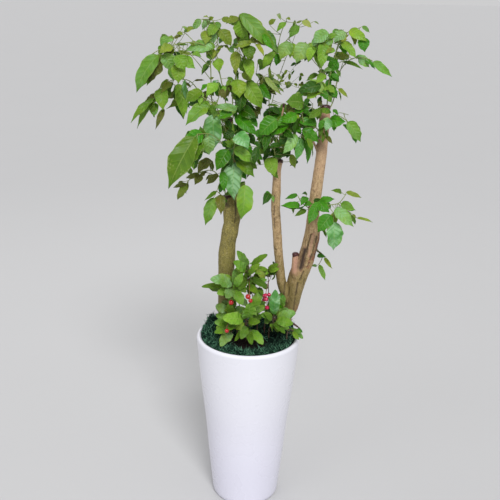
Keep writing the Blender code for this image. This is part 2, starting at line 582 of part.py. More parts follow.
def leaf_solid(root, base, tip, width, roll, extra=0.0, lift=0.0):
    """One leaf and its three-sided stalk from root to base, as a closed solid that thins to its edges."""
    axis = (tip - base).normalized()
    length = (tip - base).length
    normal = facing(axis, roll)
    side = axis.cross(normal)
    half = STALK_HALF_WIDTH + extra
    into = base - root
    stalk = [(root, axis)]
    if into.length > SHORTEST_STALK:
        along = into.normalized()
        stalk = [(root, along), (base, (along + axis).normalized())]
    verts = []
    for point, ahead in stalk:
        turn = axis.rotation_difference(ahead)
        across, up = turn @ side, turn @ normal
        verts += [point + (up * 0.5 - across) * half, point + (up * 0.5 + across) * half, point - up * half]
    faces = [(2, 1, 0)]
    if len(stalk) == 2:
        faces += [(0, 1, 4, 3), (1, 2, 5, 4), (2, 0, 3, 5)]
    a = len(verts) - 3
    b = len(verts)
    faces += [(a, a + 1, b + 1), (a, b + 1, b), (a + 1, b + 2, b + 1)]
    faces += [(a, b + 3, a + 2), (a, b, b + 3), (a + 2, b + 3, a + 1), (a + 1, b + 3, b + 2)]
    stations = BLADE_LARGE if length > LARGE_BLADE else BLADE_MIDDLE
    stations = BLADE_SMALL if length < SMALL_BLADE else stations
    for share, breadth, rise_left, rise_right in stations:
        arch = 4 * share * (1 - share) * ARCH * length
        middle = base + axis * (length * share) + normal * arch
        reach = 0.5 * width * breadth
        thick = normal * (0.5 * BLADE_THICKNESS + extra)
        left = middle - side * (reach + extra) + normal * (reach * rise_left)
        right = middle + side * (reach + extra) + normal * (reach * rise_right)
        verts += [left, middle + thick, right, middle - thick]
    end = len(verts)
    for a in range(b, end - 4, 4):
        b = a + 4
        faces += [(a, a + 1, b + 1), (a, b + 1, b), (a + 1, a + 2, b + 1), (a + 2, b + 2, b + 1)]
        faces += [(a, b + 3, a + 3), (a, b, b + 3), (a + 3, b + 3, a + 2), (a + 2, b + 3, b + 2)]
    a = end - 4
    faces += [(a, a + 1, end), (a + 1, a + 2, end), (a + 2, a + 3, end), (a + 3, a, end)]
    verts.append(tip + axis * extra)
    return [vert + normal * lift for vert in verts], faces


def tree_of(solid):
    verts, faces = solid
    return BVHTree.FromPolygons([tuple(v) for v in verts], faces, epsilon=0.0)


SAMPLE_STEP = 0.005
SAMPLE_INSET = 0.003
ROOTS_APART = 0.0035
CROWDED_ROOT_COST = 0.02
DETOUR_COST = 1.7
SHORTEST_REACH = 0.004


def samples(points):
    """Places along a stalk, clear of its bends and ends."""
    result = []
    for start, end in zip(points, points[1:]):
        length = (end - start).length
        count = max(1, round(length / SAMPLE_STEP) - 1)
        inset = min(SAMPLE_INSET, 0.3 * length) / length
        for i in range(count):
            share = inset + (1 - 2 * inset) * (i / (count - 1) if count > 1 else 0.5)
            result.append(start.lerp(end, share))
    return result


def best_root(stalks, base, tip, used):
    """The place on the stalks from which a leaf's own stalk runs on most straightly."""
    ahead = (tip - base).normalized()
    best = None
    for points in stalks:
        for place in samples(points):
            reach = base - place
            turn = DETOUR_COST - (reach.normalized().dot(ahead) if reach.length > 1e-6 else 1.0)
            cost = (reach.length + SHORTEST_REACH) * turn
            if any((place - other).length < ROOTS_APART for other in used):
                cost += CROWDED_ROOT_COST
            if best is None or cost < best[0]:
                best = (cost, place)
    return best[1]


# The low plants with berries. foot is where the stem stands in the soil; a leaf may end with its tip's depth.
LOW_PLANTS = {
    "berry_plant_crest": {
        "foot": (0.028, 0.004),
        "stalks": [
            [(2.2, 63, 0), (1.2, 70, -2), (-0.1, 76.2, -3), (-0.2, 80.4, -4)],
        ],
        "leaves": [(-0.4, 81.0, -4.0, 85.7, 2.1, -6), (0.6, 80.8, 5.5, 84.6, 1.9, -6),
                   (-1.4, 79.2, -5.1, 82.1, 2.7, -9), (-0.2, 77.4, 3.3, 81.5, 1.8, -9),
                   (-0.8, 76.4, -0.7, 81.2, 1.7, -2), (-0.2, 74.0, 2.7, 71.7, 1.9, -9),
                   (1.0, 76.0, 5.6, 73.6, 2.0, -8), (-0.8, 75.4, -3.4, 72.6, 1.7, -8),
                   (2.4, 75.6, 5.6, 76.2, 1.5, -7), (2.6, 73.4, 4.4, 71.2, 1.4, -8)],
    },
    "berry_plant_thin": {
        "foot": (0.052, 0.012),
        "stalks": [
            [(5.8, 63, 2), (6.1, 72, 1), (5.9, 77.0, 0), (5.9, 79.0, 0)],
        ],
        "leaves": [(6.0, 79.3, 8.9, 81.6, 1.8, -2), (5.6, 79.5, 2.0, 80.3, 1.3, -2),
                   (4.6, 78.6, 3.0, 76.0, 1.9, -3), (5.6, 77.4, 2.4, 79.0, 1.5, 4),
                   (6.2, 78.2, 8.2, 78.1, 0.9, 3), (6.3, 79.0, 9.3, 80.1, 1.2, -3)],
    },
    "berry_plant_left": {
        "foot": (-0.020, 0.006),
        "stalks": [
            [(-2.2, 63, -1), (-3.2, 68.4, -3), (-4.8, 73.2, -6)],
        ],
        "leaves": [(-6.0, 74.0, -15.0, 73.4, 1.6, -7), (-5.4, 74.2, -12.3, 76.0, 3.4, -11),
                   (-5.6, 73.2, -7.4, 69.8, 3.2, -13), (-4.6, 72.4, -2.1, 67.5, 2.9, -12),
                   (-3.2, 73.6, -0.9, 71.8, 1.5, -8), (-4.0, 73.8, -4.6, 79.6, 2.4, -7),
                   (-4.6, 71.4, -1.8, 74.0, 1.9, 3), (-4.2, 73.6, -2.0, 78.2, 2.2, -8),
                   (-5.6, 72.8, -10.2, 71.2, 2.4, -10)],
    },
    "berry_plant_low_left": {
        "foot": (-0.036, -0.020),
        "stalks": [
            [(-4.4, 60.0, -4), (-5.4, 63.6, -6)],
        ],
        "leaves": [(-6.4, 65.0, -10.5, 67.2, 2.6, -4), (-5.0, 64.8, -6.4, 67.9, 2.3, -9),
                   (-6.3, 61.6, -10.9, 61.4, 2.7, -10), (-5.8, 59.4, -11.0, 57.7, 2.1, -11),
                   (-5.4, 57.8, -8.9, 52.8, 3.0, -12.5), (-4.0, 64.2, -2.6, 67.0, 2.2, -2),
                   (-4.2, 64.6, -6.6, 68.4, 2.2, -6), (-4.2, 61.2, -6.6, 58.6, 2.0, -11)],
    },
    "berry_plant_front": {
        "foot": (-0.006, -0.034),
        "stalks": [
            [(-0.8, 59.6, -5), (-0.8, 62.6, -7)],
        ],
        "leaves": [(-1.8, 62.6, -8.3, 63.0, 3.6, -13), (-0.8, 63.0, 0.4, 68.4, 4.2, -10),
                   (0.2, 64.0, 3.9, 72.4, 3.0, -6), (0.0, 62.2, 3.8, 61.8, 2.0, -11),
                   (-0.8, 60.2, -2.4, 55.6, 2.4, -12), (0.0, 59.0, 1.3, 53.7, 2.1, -12),
                   (0.6, 58.6, 4.8, 53.8, 2.7, -11), (-1.8, 58.8, -4.3, 54.8, 1.3, -11),
                   (1.4, 65.4, 5.0, 67.6, 2.0, -8), (1.2, 62.6, 4.4, 64.2, 1.6, -4)],
    },
    "berry_plant_right": {
        "foot": (0.066, -0.022),
        "stalks": [
            [(7.4, 60.0, -3), (8.2, 62.8, -5)],
        ],
        "leaves": [(8.0, 64.6, 8.2, 73.0, 3.0, -6), (8.8, 64.2, 11.0, 71.2, 2.7, -3),
                   (9.2, 63.4, 15.0, 65.2, 2.9, -7), (9.0, 62.4, 14.3, 61.2, 2.8, -10),
                   (8.0, 61.4, 11.8, 57.8, 1.8, -11), (7.4, 62.4, 4.9, 65.2, 1.8, -6),
                   (7.8, 63.8, 6.2, 68.4, 2.0, 0)],
    },
    "rim_sprig": {
        "foot": (0.122, -0.052),
        "stalks": [
            [(13.2, 59.4, -5.4), (14.2, 59.2, -6)],
        ],
        "leaves": [(14.6, 59.0, 17.0, 57.9, 1.3, -8), (14.6, 58.8, 17.7, 56.2, 1.4, -9),
                   (14.4, 58.6, 16.4, 55.8, 1.3, -10)],
    },
}

# Berries: (across, up, depth, radius) in centimetres; each bunch hangs from one plant's stem
BERRIES = {
    "berry_left": ("berry_plant_left", [(-5.6, 68.3, -9, 0.80)]),
    "berries_centre": ("berry_plant_crest", [(-0.3, 70.4, -10, 0.80), (0.5, 69.0, -11, 0.65)]),
    "berries_crimson": ("berry_plant_thin", [(4.5, 70.8, -6, 0.62), (6.3, 71.2, -6, 0.60),
                                             (5.4, 69.7, -8, 0.66), (5.2, 71.0, -8.4, 0.58),
                                             (4.7, 69.5, -5, 0.58), (5.8, 66.8, -6, 0.68)]),
    "berry_low_left": ("berry_plant_low_left", [(-6.9, 58.4, -13.2, 0.66)]),
}
BERRY_STALK = 0.0009
BERRY_STEM = 0.00108
BERRY_STALK_SIDES = 4
HUB_ABOVE_BUNCH = Vector((0, 0.006, 0.016))
HUB_ABOVE_BERRY = Vector((0, 0.004, 0.012))

# The flake of bark on the moss: (x, y, z, half width, half thickness) along it, before it is let down
BARK_FLAKE = [(0.122, 0.082, 0.660, 0.005, 0.0020), (0.140, 0.076, 0.654, 0.008, 0.0042),
              (0.157, 0.070, 0.645, 0.006, 0.0034), (0.174, 0.063, 0.634, 0.0025, 0.0016)]
FLAKE_SECTION = ((-1, -0.4), (-0.4, -1), (0.6, -0.9), (1, 0.1), (0.3, 1), (-0.6, 0.8))


class Placed:
    """What is already placed, which a new solid may not cross."""

    def __init__(self):
        self.items = []

    def add(self, owner, solid, kind="stalk"):
        low = Vector([min(v[i] for v in solid[0]) for i in range(3)])
        high = Vector([max(v[i] for v in solid[0]) for i in range(3)])
        self.items.append((owner, kind, low, high, tree_of(solid)))

    def crosses(self, solid, wanted):
        low = [min(v[i] for v in solid[0]) for i in range(3)]
        high = [max(v[i] for v in solid[0]) for i in range(3)]
        tree = None
        for owner, kind, other_low, other_high, other in self.items:
            if not wanted(owner, kind):
                continue
            if any(low[i] > other_high[i] or high[i] < other_low[i] for i in range(3)):
                continue
            tree = tree or tree_of(solid)
            if tree.overlap(other):
                return True
        return False


CLEARANCE = 0.0007
LEAST_ABOVE_RIM = 0.001
RIM_RING_FOOT = 0.45
STEM_RADIUS = 0.0029
STEM_TIP = 0.0018
STEM_FOOT = 0.505
STEM_STRAIGHT = 0.604
STEM_HOLE_RISE = 0.02
STEM_STEP_OUT = 0.006
SOCKET_RISE = 0.004
STALK_RADIUS = 0.0018
STALK_TIP = 0.0015
STALK_SIDES = 4
# The first share of a new stalk, where it leaves its own stem, isn't compared with what stands there
BRANCH_START = 0.12
BACK_STALK_CLEAR = 0.15
# The order in which a stem or leaf that meets another is bent: depths in centimetres
BENDS = (0, -1, 1, -2, 2, -3, 3, -4.5, 4.5, -6, 6, -8, 8, -10, 10)
# How a leaf leans in depth, in centimetres, how it is rolled, and how its trials differ
LEAN_LEAST = -3.2
LEAN_MOST = 0.6
ROLL_DEGREES = 16
TURNS = (0.0, 0.35, -0.35)
BEND_OF_BASE = 0.7
BEND_OF_TIP = 0.3
DEPTH_AT_BASE = 0.25
BEND_OF_SET_TIP = 0.5


def trunk_limbs():
    """Every limb as a plain closed tube, with the name of its trunk."""
    result = {}
    for name, rows, branches, phase in (("trunk_left", TRUNK_LEFT, [LEFT_LIMB, RIGHT_LIMB], LEFT_PHASE),
                                        ("trunk_right", TRUNK_RIGHT, [CENTRE_STEM, STUB], RIGHT_PHASE)):
        result[name] = [limb(rows, TRUNK_SIDES, phase=phase)]
        result[name] += [limb(branch, LIMB_SIDES, phase=phase + 1) for branch in branches]
    return result


def seat_on(limbs, inside, outside):
    """Where a stem leaves the bark at the height of inside, on the side of outside, and its way out."""
    way = outside - inside
    steepest = math.hypot(way.x, way.y)
    way.z = max(-steepest, min(steepest, way.z))
    way.normalize()
    best = None
    for solid in limbs:
        place, normal, index, distance = tree_of(solid).ray_cast(inside + way * SEAT_REACH, -way)
        if place is not None and (best is None or distance < best[1]):
            best = (place, distance)
    return best[0], way


def radii_along(points, first, last):
    total = sum((b - a).length for a, b in zip(points, points[1:]))
    result = [first]
    run = 0.0
    for a, b in zip(points, points[1:]):
        run += (b - a).length
        result.append(first + (last - first) * run / total)
    return result


def bent(rows, bend, fixed):
    """The places of a stalk's rows, with all past the fixed ones bent to another depth."""
    count = max(1, len(rows) - fixed)
    places = []
    for i, (across, up, depth) in enumerate(rows):
        share = max(0, i - fixed + 1) / count
        places.append(seen(across, up, depth + bend * math.sin(0.5 * math.pi * min(1.0, 2 * share))))
    return places


def nearest_on(stalks, place):
    places = [p for points in stalks for p in [points[0]] + samples(points)]
    return min(places, key=lambda p: (p - place).length)


def grow_stalks(placed, limbs):
    """The stems and leafstalks of every shoot and low plant, bent clear of each other."""
    grown = {}
    sockets = {name: [] for name in limbs}
    for name, plan in {**SHOOTS, **LOW_PLANTS}.items():
        stalks = []
        solids = []
        for number, rows in enumerate(plan["stalks"]):
            chosen = None
            for bend in BENDS:
                places = bent(rows, bend, 1)
                if number:
                    places[0] = nearest_on(stalks, places[0])
                    points = places
                    tested = [points[0].lerp(points[1], BRANCH_START)] + points[1:]
                elif "foot" in plan:
                    x, y = plan["foot"]
                    points = [Vector((x, y, STEM_FOOT)), Vector((x, y, STEM_STRAIGHT))] + places
                    tested = points[1:]
                else:
                    bark, way = seat_on(limbs[plan["seat"]], places[0], places[1])
                    points = [bark - way * SEAT_DEPTH, bark + way * STEM_STEP_OUT] + places[1:]
                    tested = points[1:]
                radii = radii_along(points, STALK_RADIUS, STALK_TIP)
                if number == 0:
                    radii = radii_along(points, STEM_RADIUS, STEM_TIP)
                    radii[1] = radii[0]
                grown_radii = [radius + CLEARANCE for radius in radii[-len(tested):]]
                swollen = tube(tested, grown_radii, STALK_SIDES)
                if not placed.crosses(swollen, lambda owner, kind: owner != name):
                    chosen = (points, radii)
                    break
            if chosen is None:
                raise RuntimeError(f"no free way for stalk {number} of {name}")
            points, radii = chosen
            stalks.append(points)
            solids.append(tube(points, radii, STALK_SIDES))
            placed.add(name, solids[-1])
            if number == 0 and "seat" in plan:
                way = (points[1] - points[0]).normalized()
                ends = [points[0] - way * GAP, points[1] + way * SOCKET_RISE]
                sockets[plan["seat"]].append(tube(ends, [STEM_RADIUS + 1.5 * GAP] * 2, STALK_SIDES))
        grown[name] = (stalks, solids)
    return grown, sockets


def flat(place):
    """The front view's (across, up, depth) of a place, in centimetres."""
    middle = EYE + (place - EYE) * (-EYE.y / (place.y - EYE.y))
    return middle.x / CM, middle.z / CM, place.y / CM


def leaf_trials(row, stalks, chance, behind, used):
    """Every way in which a leaf is tried: (root, base, tip, width, roll), the wanted one first."""
    base_across, base_up, tip_across, tip_up, width = row[:5]
    close = min((flat(p) for points in stalks for p in samples(points)),
                key=lambda f: (f[0] - base_across) ** 2 + (f[1] - base_up) ** 2)
    lean = chance.uniform(LEAN_LEAST, LEAN_MOST)
    roll = math.radians(chance.uniform(-ROLL_DEGREES, ROLL_DEGREES))
    for bend in BENDS:
        for turn in TURNS:
            base_depth = close[2] + bend * BEND_OF_BASE + behind
            tip_depth = base_depth + lean + bend * BEND_OF_TIP
            if len(row) > 5:
                tip_depth = row[5] + bend * BEND_OF_SET_TIP
                base_depth = close[2] + DEPTH_AT_BASE * (tip_depth - close[2]) + bend * BEND_OF_TIP
            base = seen(base_across, base_up, base_depth)
            tip = seen(tip_across, tip_up, tip_depth)
            yield best_root(stalks, base, tip, used), base, tip, width * BROADER * CM, roll + turn


def grow_leaf(placed, name, row, stalks, chance, used, behind=0.0):
    """The first trial that is clear of the other nodes, best also of its own node's leaves."""
    second_choice = None
    for trial in leaf_trials(row, stalks, chance, behind, used):
        root, base, tip, width, roll = trial
        lifts = (-CLEARANCE, CLEARANCE)
        whole = [leaf_solid(root, base, tip, width, roll, CLEARANCE, lift) for lift in lifts]
        if any(placed.crosses(solid, lambda owner, kind: owner != name) for solid in whole):
            continue
        blade = leaf_solid(base, base, tip, width, roll)
        if not (placed.crosses(blade, lambda owner, kind: owner == name and kind == "leaf")
                or placed.crosses(whole[0], lambda owner, kind: owner == name and kind == "blade")):
            return trial
        second_choice = second_choice or trial
    return second_choice


def back_stalk(placed, name, stalks, rows):
    """A leafstalk towards the back, for the leaves behind."""
    places = samples(stalks[0])
    start = places[int(len(places) * BACK_STALK_START)]
    across = sum(row[0] for row in rows) / len(rows)
    up = sum(row[1] for row in rows) / len(rows) + 2.0
    for depth in BACK_STALK_DEPTHS:
        end = seen(across, up, depth)
        middle = start.lerp(end, 0.5) + BACK_STALK_SAG
        tested = [start.lerp(middle, BACK_STALK_CLEAR), middle, end]
        swollen = tube(tested, [STALK_RADIUS + CLEARANCE] * len(tested), STALK_SIDES)
        if not placed.crosses(swollen, lambda owner, kind: owner != name):
            return [start, middle, end]
    return None


def plain_rim():
    """The pot's upper wall as a plain ring, which the foliage must stay clear of."""
    top = POT_HEIGHT + LEAST_ABOVE_RIM
    corners = [(RIM_INNER, RIM_RING_FOOT), (RIM_OUTER, RIM_RING_FOOT), (RIM_OUTER, top), (RIM_INNER, top)]
    return revolved(corners + corners[:1], POT_SEGMENTS)


def grow_foliage():
    """Every leafy node as its stalk tubes and its leaves, with the sockets that its stem needs."""
    placed = Placed()
    limbs = trunk_limbs()
    for name, solids in limbs.items():
        for solid in solids:
            placed.add(name, solid)
    placed.add("moss", moss_solid())
    placed.add("pot", plain_rim())
    grown, sockets = grow_stalks(placed, limbs)
    bunches = grow_berries(placed, grown)
    leaves = {name: [] for name in grown}
    plans = {**SHOOTS, **LOW_PLANTS}
    chances = {name: random.Random(SEED + number) for number, name in enumerate(plans)}
    for name, plan in plans.items():
        for row in plan["leaves"]:
            used = [leaf[0] for leaf in leaves[name]]
            found = grow_leaf(placed, name, row, grown[name][0], chances[name], used)
            keep_leaf(placed, name, found, leaves)
    for number, (name, plan) in enumerate(SHOOTS.items()):
        rows = plan["leaves"][number % 3::BACK_EVERY]
        if len(plan["leaves"]) < 5:
            continue
        points = back_stalk(placed, name, grown[name][0], rows)
        if points is None:
            continue
        solid = tube(points, radii_along(points, STALK_RADIUS, STALK_TIP), STALK_SIDES)
        placed.add(name, solid)
        grown[name][1].append(solid)
        for index, row in enumerate(rows):
            behind = BACK_DEPTHS[(index + number) % len(BACK_DEPTHS)] - points[-1].y / CM
            used = [leaf[0] for leaf in leaves[name]]
            found = grow_leaf(placed, name, row[:5], [points], chances[name], used, behind)
            keep_leaf(placed, name, found, leaves)
    return grown, sockets, leaves, bunches


def keep_leaf(placed, name, found, leaves):
    if found is None:
        raise RuntimeError(f"no free place for a leaf of {name}")
    root, base, tip, width, roll = found
    placed.add(name, leaf_solid(root, base, tip, width, roll), "leaf")
    placed.add(name, leaf_solid(base, base, tip, width, roll), "blade")
    leaves[name].append(found)


def berry_solid(centre, radius):
    bm = bmesh.new()
    bmesh.ops.create_uvsphere(bm, u_segments=7, v_segments=5, radius=radius)
    verts = [centre + v.co for v in bm.verts]
    faces = [tuple(v.index for v in f.verts) for f in bm.faces]
    bm.free()
    return verts, faces


def grow_berries(placed, grown):
    """Each bunch: its berries, and the stalk that ends just short of the plant's stem."""
    bunches = {}
    for name, (plant, rows) in BERRIES.items():
        centres = [(seen(*row[:3]), row[3] * CM) for row in rows]
        middle = sum((centre for centre, radius in centres), Vector()) / len(centres)
        hub = middle + (HUB_ABOVE_BUNCH if len(centres) > 1 else HUB_ABOVE_BERRY)
        stem = tree_of(grown[plant][1][0])
        near = stem.find_nearest(hub)[0]
        way = (hub - near).normalized()
        solids = [tube([near + way * GAP, hub + way * BERRY_STALK], [BERRY_STEM] * 2, BERRY_STALK_SIDES)]
        for centre, radius in centres:
            solids.append(berry_solid(centre, radius))
            top = centre + (hub - centre).normalized() * radius * 0.6
            solids.append(tube([hub, top], [BERRY_STALK] * 2, BERRY_STALK_SIDES))
        for solid in solids:
            placed.add(name, solid)
        bunches[name] = solids
    return bunches


def let_down(solid, floors):
    """The solid lowered in steps of a gap until the next step would meet one of the floors."""
    verts, faces = solid
    trees = [tree_of(floor) for floor in floors]
    step = Vector((0, 0, -GAP))
    while True:
        lower = [vert + step for vert in verts]
        own_tree = tree_of((lower, faces))
        if any(own_tree.overlap(tree) for tree in trees):
            return verts, faces
        verts = lower


def bark_flake_solid(floors):
    verts = []
    for x, y, z, half_width, half_thick in BARK_FLAKE:
        for side, lift in FLAKE_SECTION:
            verts.append(Vector((x, y + side * half_width, z + lift * half_thick)))
    corners = len(FLAKE_SECTION)
    faces = [tuple(reversed(range(corners)))]
    for i in range(len(BARK_FLAKE) - 1):
        for k in range(corners):
            a = corners * i + k
            b = corners * i + (k + 1) % corners
            faces.append((a, b, b + corners, a + corners))
    last = len(verts) - corners
    faces.append(tuple(range(last, last + corners)))
    return let_down((verts, faces), floors)


def main():
    remove_everything()
    white = material("glossy white", (0.86, 0.86, 0.91), 0.15)
    add_object("pot", mesh_from("pot", *pot_solid()), white)
    grown, sockets, leaves, bunches = grow_foliage()

    bark_left = material("olive bark", (0.26, 0.23, 0.08), 0.8)
    bark_right = material("tan bark", (0.40, 0.30, 0.12), 0.8)
    trunks = {"trunk_left": (TRUNK_LEFT, [LEFT_LIMB, RIGHT_LIMB], LEFT_PHASE, bark_left),
              "trunk_right": (TRUNK_RIGHT, [CENTRE_STEM, STUB], RIGHT_PHASE, bark_right)}
    for name, (rows, branches, phase, surface) in trunks.items():
        whole = solid_of(trunk_solid(rows, branches, phase))
        add_object(name, boolean(whole, sockets[name], "DIFFERENCE", name), surface)

    holes = [trunk_foot(TRUNK_LEFT, GAP), trunk_foot(TRUNK_RIGHT, GAP)]
    for plan in LOW_PLANTS.values():
        x, y = plan["foot"]
        ends = [Vector((x, y, STEM_FOOT - GAP)), Vector((x, y, STEM_STRAIGHT + STEM_HOLE_RISE))]
        holes.append(tube(ends, [STEM_RADIUS + 1.5 * GAP] * 2, STALK_SIDES))
    soil = material("dark soil", (0.02, 0.016, 0.014), 0.95)
    moss = material("dark moss", (0.02, 0.09, 0.06), 0.95)
    add_object("soil", boolean(soil_solid(), holes, "DIFFERENCE", "soil"), soil)
    add_object("moss_carpet", boolean(moss_solid(), holes, "DIFFERENCE", "moss_carpet"), moss)

    green = material("leaf green", (0.12, 0.34, 0.04), 0.35)
    for name, (stalks, solids) in grown.items():
        blades = [leaf_solid(*leaf) for leaf in leaves[name]]
        add_object(name, boolean(solids[0], solids[1:] + blades, "UNION", name), green)
    red = material("berry red", (0.55, 0.01, 0.03), 0.2)
    for name, solids in bunches.items():
        add_object(name, boolean(solids[0], solids[1:], "UNION", name), red)
    brown = material("dark bark", (0.06, 0.04, 0.05), 0.9)
    flake = bark_flake_solid([moss_solid(), pot_solid()])
    add_object("bark_flake", mesh_from("bark_flake", *flake), brown)


main()
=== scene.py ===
"""The looks of a china doll plant in a tall white pot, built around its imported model.

The pot's foot stands at the origin, +Z is up and the front is towards -Y. Lengths are in metres.
The foliage tables are in centimetres on the upright plane through the pot's axis, as seen from EYE:
(across, up), and a depth behind that plane slides a place along its line of sight.
"""

import math
import random

import bmesh
import bpy
import numpy as np
from mathutils import Matrix, Vector, noise
from mathutils.bvhtree import BVHTree
from mathutils.kdtree import KDTree


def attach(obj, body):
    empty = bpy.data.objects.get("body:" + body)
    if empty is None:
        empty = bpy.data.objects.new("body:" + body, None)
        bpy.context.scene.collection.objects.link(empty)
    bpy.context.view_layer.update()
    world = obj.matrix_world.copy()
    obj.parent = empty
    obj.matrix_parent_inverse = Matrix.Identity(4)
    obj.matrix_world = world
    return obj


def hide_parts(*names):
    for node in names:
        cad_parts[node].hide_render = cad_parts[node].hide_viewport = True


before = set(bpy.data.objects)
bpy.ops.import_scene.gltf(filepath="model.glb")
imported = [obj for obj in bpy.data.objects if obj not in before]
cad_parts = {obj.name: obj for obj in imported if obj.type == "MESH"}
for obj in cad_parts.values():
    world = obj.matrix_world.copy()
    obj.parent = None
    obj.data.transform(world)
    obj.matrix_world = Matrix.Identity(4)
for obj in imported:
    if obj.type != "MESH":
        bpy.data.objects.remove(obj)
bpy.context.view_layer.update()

# The part's own sizes
POT_HEIGHT = 0.575
POT_OUTSIDE = [(0.0, 0.102), (0.003, 0.1068), (0.010, 0.1098), (0.14, 0.1230), (0.26, 0.1335),
               (0.36, 0.1448), (0.46, 0.1558), (0.545, 0.1632)]
RIM_OUTER = 0.1645
RIM_INNER = 0.151
WALL = 0.010
FLOOR_THICKNESS = 0.014
INSIDE_FOOT_RADIUS = 0.0885
SOIL_TOP = 0.560
MOSS_RIM = 0.572
GAP = 0.0003
EYE = Vector((0.0, -2.2, 1.6))
CM = 0.01
SEAT_DEPTH = 0.0065
SEAT_REACH = 0.045
SEED = 20
# The lip, as rows of (radius, height), and the heights at which the inside is read
LIP = [(RIM_OUTER, 0.560), (RIM_OUTER + 0.0004, 0.5665), (RIM_OUTER - 0.0016, 0.5722),
       (RIM_OUTER - 0.0058, POT_HEIGHT), (RIM_INNER + 0.0045, 0.5744), (RIM_INNER + 0.0006, 0.5716),
       (RIM_INNER, 0.566)]
INSIDE_HEIGHTS = (0.545, 0.45, 0.36, 0.25, 0.14, 0.03)
POT_SIDES = 144

# The trunks: (x, y, z, radius) along each limb; the first two points stand in the soil
TRUNK_LEFT = [(-0.074, 0.012, 0.42, 0.0225), (-0.074, 0.012, 0.60, 0.0225),
              (-0.0745, 0.010, 0.68, 0.0232), (-0.073, 0.006, 0.775, 0.0248),
              (-0.0715, 0.002, 0.842, 0.0264), (-0.0685, 0.0, 0.882, 0.0240),
              (-0.0625, 0.0, 0.920, 0.0258), (-0.0570, 0.0, 0.955, 0.0225)]
LEFT_LIMB = [(-0.0625, 0.0, 0.925, 0.0175), (-0.0670, 0.0, 0.965, 0.0168),
             (-0.0690, 0.0, 1.002, 0.0158), (-0.0770, 0.0, 1.030, 0.0148)]
RIGHT_LIMB = [(-0.0540, 0.0, 0.925, 0.0150), (-0.0450, 0.0, 0.965, 0.0142),
              (-0.0445, 0.003, 1.02, 0.0130), (-0.0530, 0.008, 1.10, 0.0112),
              (-0.0620, 0.010, 1.17, 0.0100), (-0.0680, 0.010, 1.26, 0.0090)]
TRUNK_RIGHT = [(0.1040, 0.042, 0.42, 0.0220), (0.1190, 0.044, 0.62, 0.0220),
               (0.1350, 0.037, 0.655, 0.0236), (0.1410, 0.024, 0.708, 0.0268),
               (0.1530, 0.010, 0.774, 0.0288), (0.1760, 0.004, 0.840, 0.0266),
               (0.1900, 0.003, 0.907, 0.0250), (0.1900, 0.004, 0.971, 0.0184),
               (0.1950, 0.006, 1.034, 0.0174), (0.2020, 0.008, 1.115, 0.0166),
               (0.2080, 0.010, 1.19, 0.0162), (0.2110, 0.012, 1.305, 0.0150)]
CENTRE_STEM = [(0.1260, 0.022, 0.688, 0.0150), (0.1035, 0.008, 0.744, 0.0146),
               (0.0935, 0.002, 0.809, 0.0140), (0.0835, 0.0, 0.903, 0.0140),
               (0.0750, 0.0, 0.993, 0.0136), (0.0755, 0.002, 1.05, 0.0130),
               (0.0760, 0.002, 1.108, 0.0120), (0.0810, 0.002, 1.144, 0.0120)]
STUB = [(0.148, -0.004, 0.765, 0.0105), (0.140, -0.016, 0.80, 0.0100), (0.140, -0.020, 0.858, 0.0098)]
ALL_LIMBS = [TRUNK_LEFT, LEFT_LIMB, RIGHT_LIMB, TRUNK_RIGHT, CENTRE_STEM, STUB]
TRUNK_SIDES = 10
LIMB_SIDES = 8
BARK_BUMP = 0.035
LEFT_PHASE = 0.4
RIGHT_PHASE = 2.0

# The moss carpet's mounds: (x, y, height, spread)
MOSS_MOUNDS = [(-0.118, 0.070, 0.036, 0.034), (-0.140, 0.010, 0.014, 0.032), (0.125, -0.055, 0.010, 0.030),
               (0.030, 0.100, 0.012, 0.050), (0.124, 0.045, 0.034, 0.034), (0.100, 0.085, 0.018, 0.030),
               (-0.030, 0.080, 0.010, 0.040), (0.128, -0.010, 0.014, 0.028)]
MOSS_OPENING = 0.020
MOSS_OPENING_FRONT = 0.094
MOSS_OPENING_FADE = 1.7
MOSS_OPENING_WAVE = 0.004

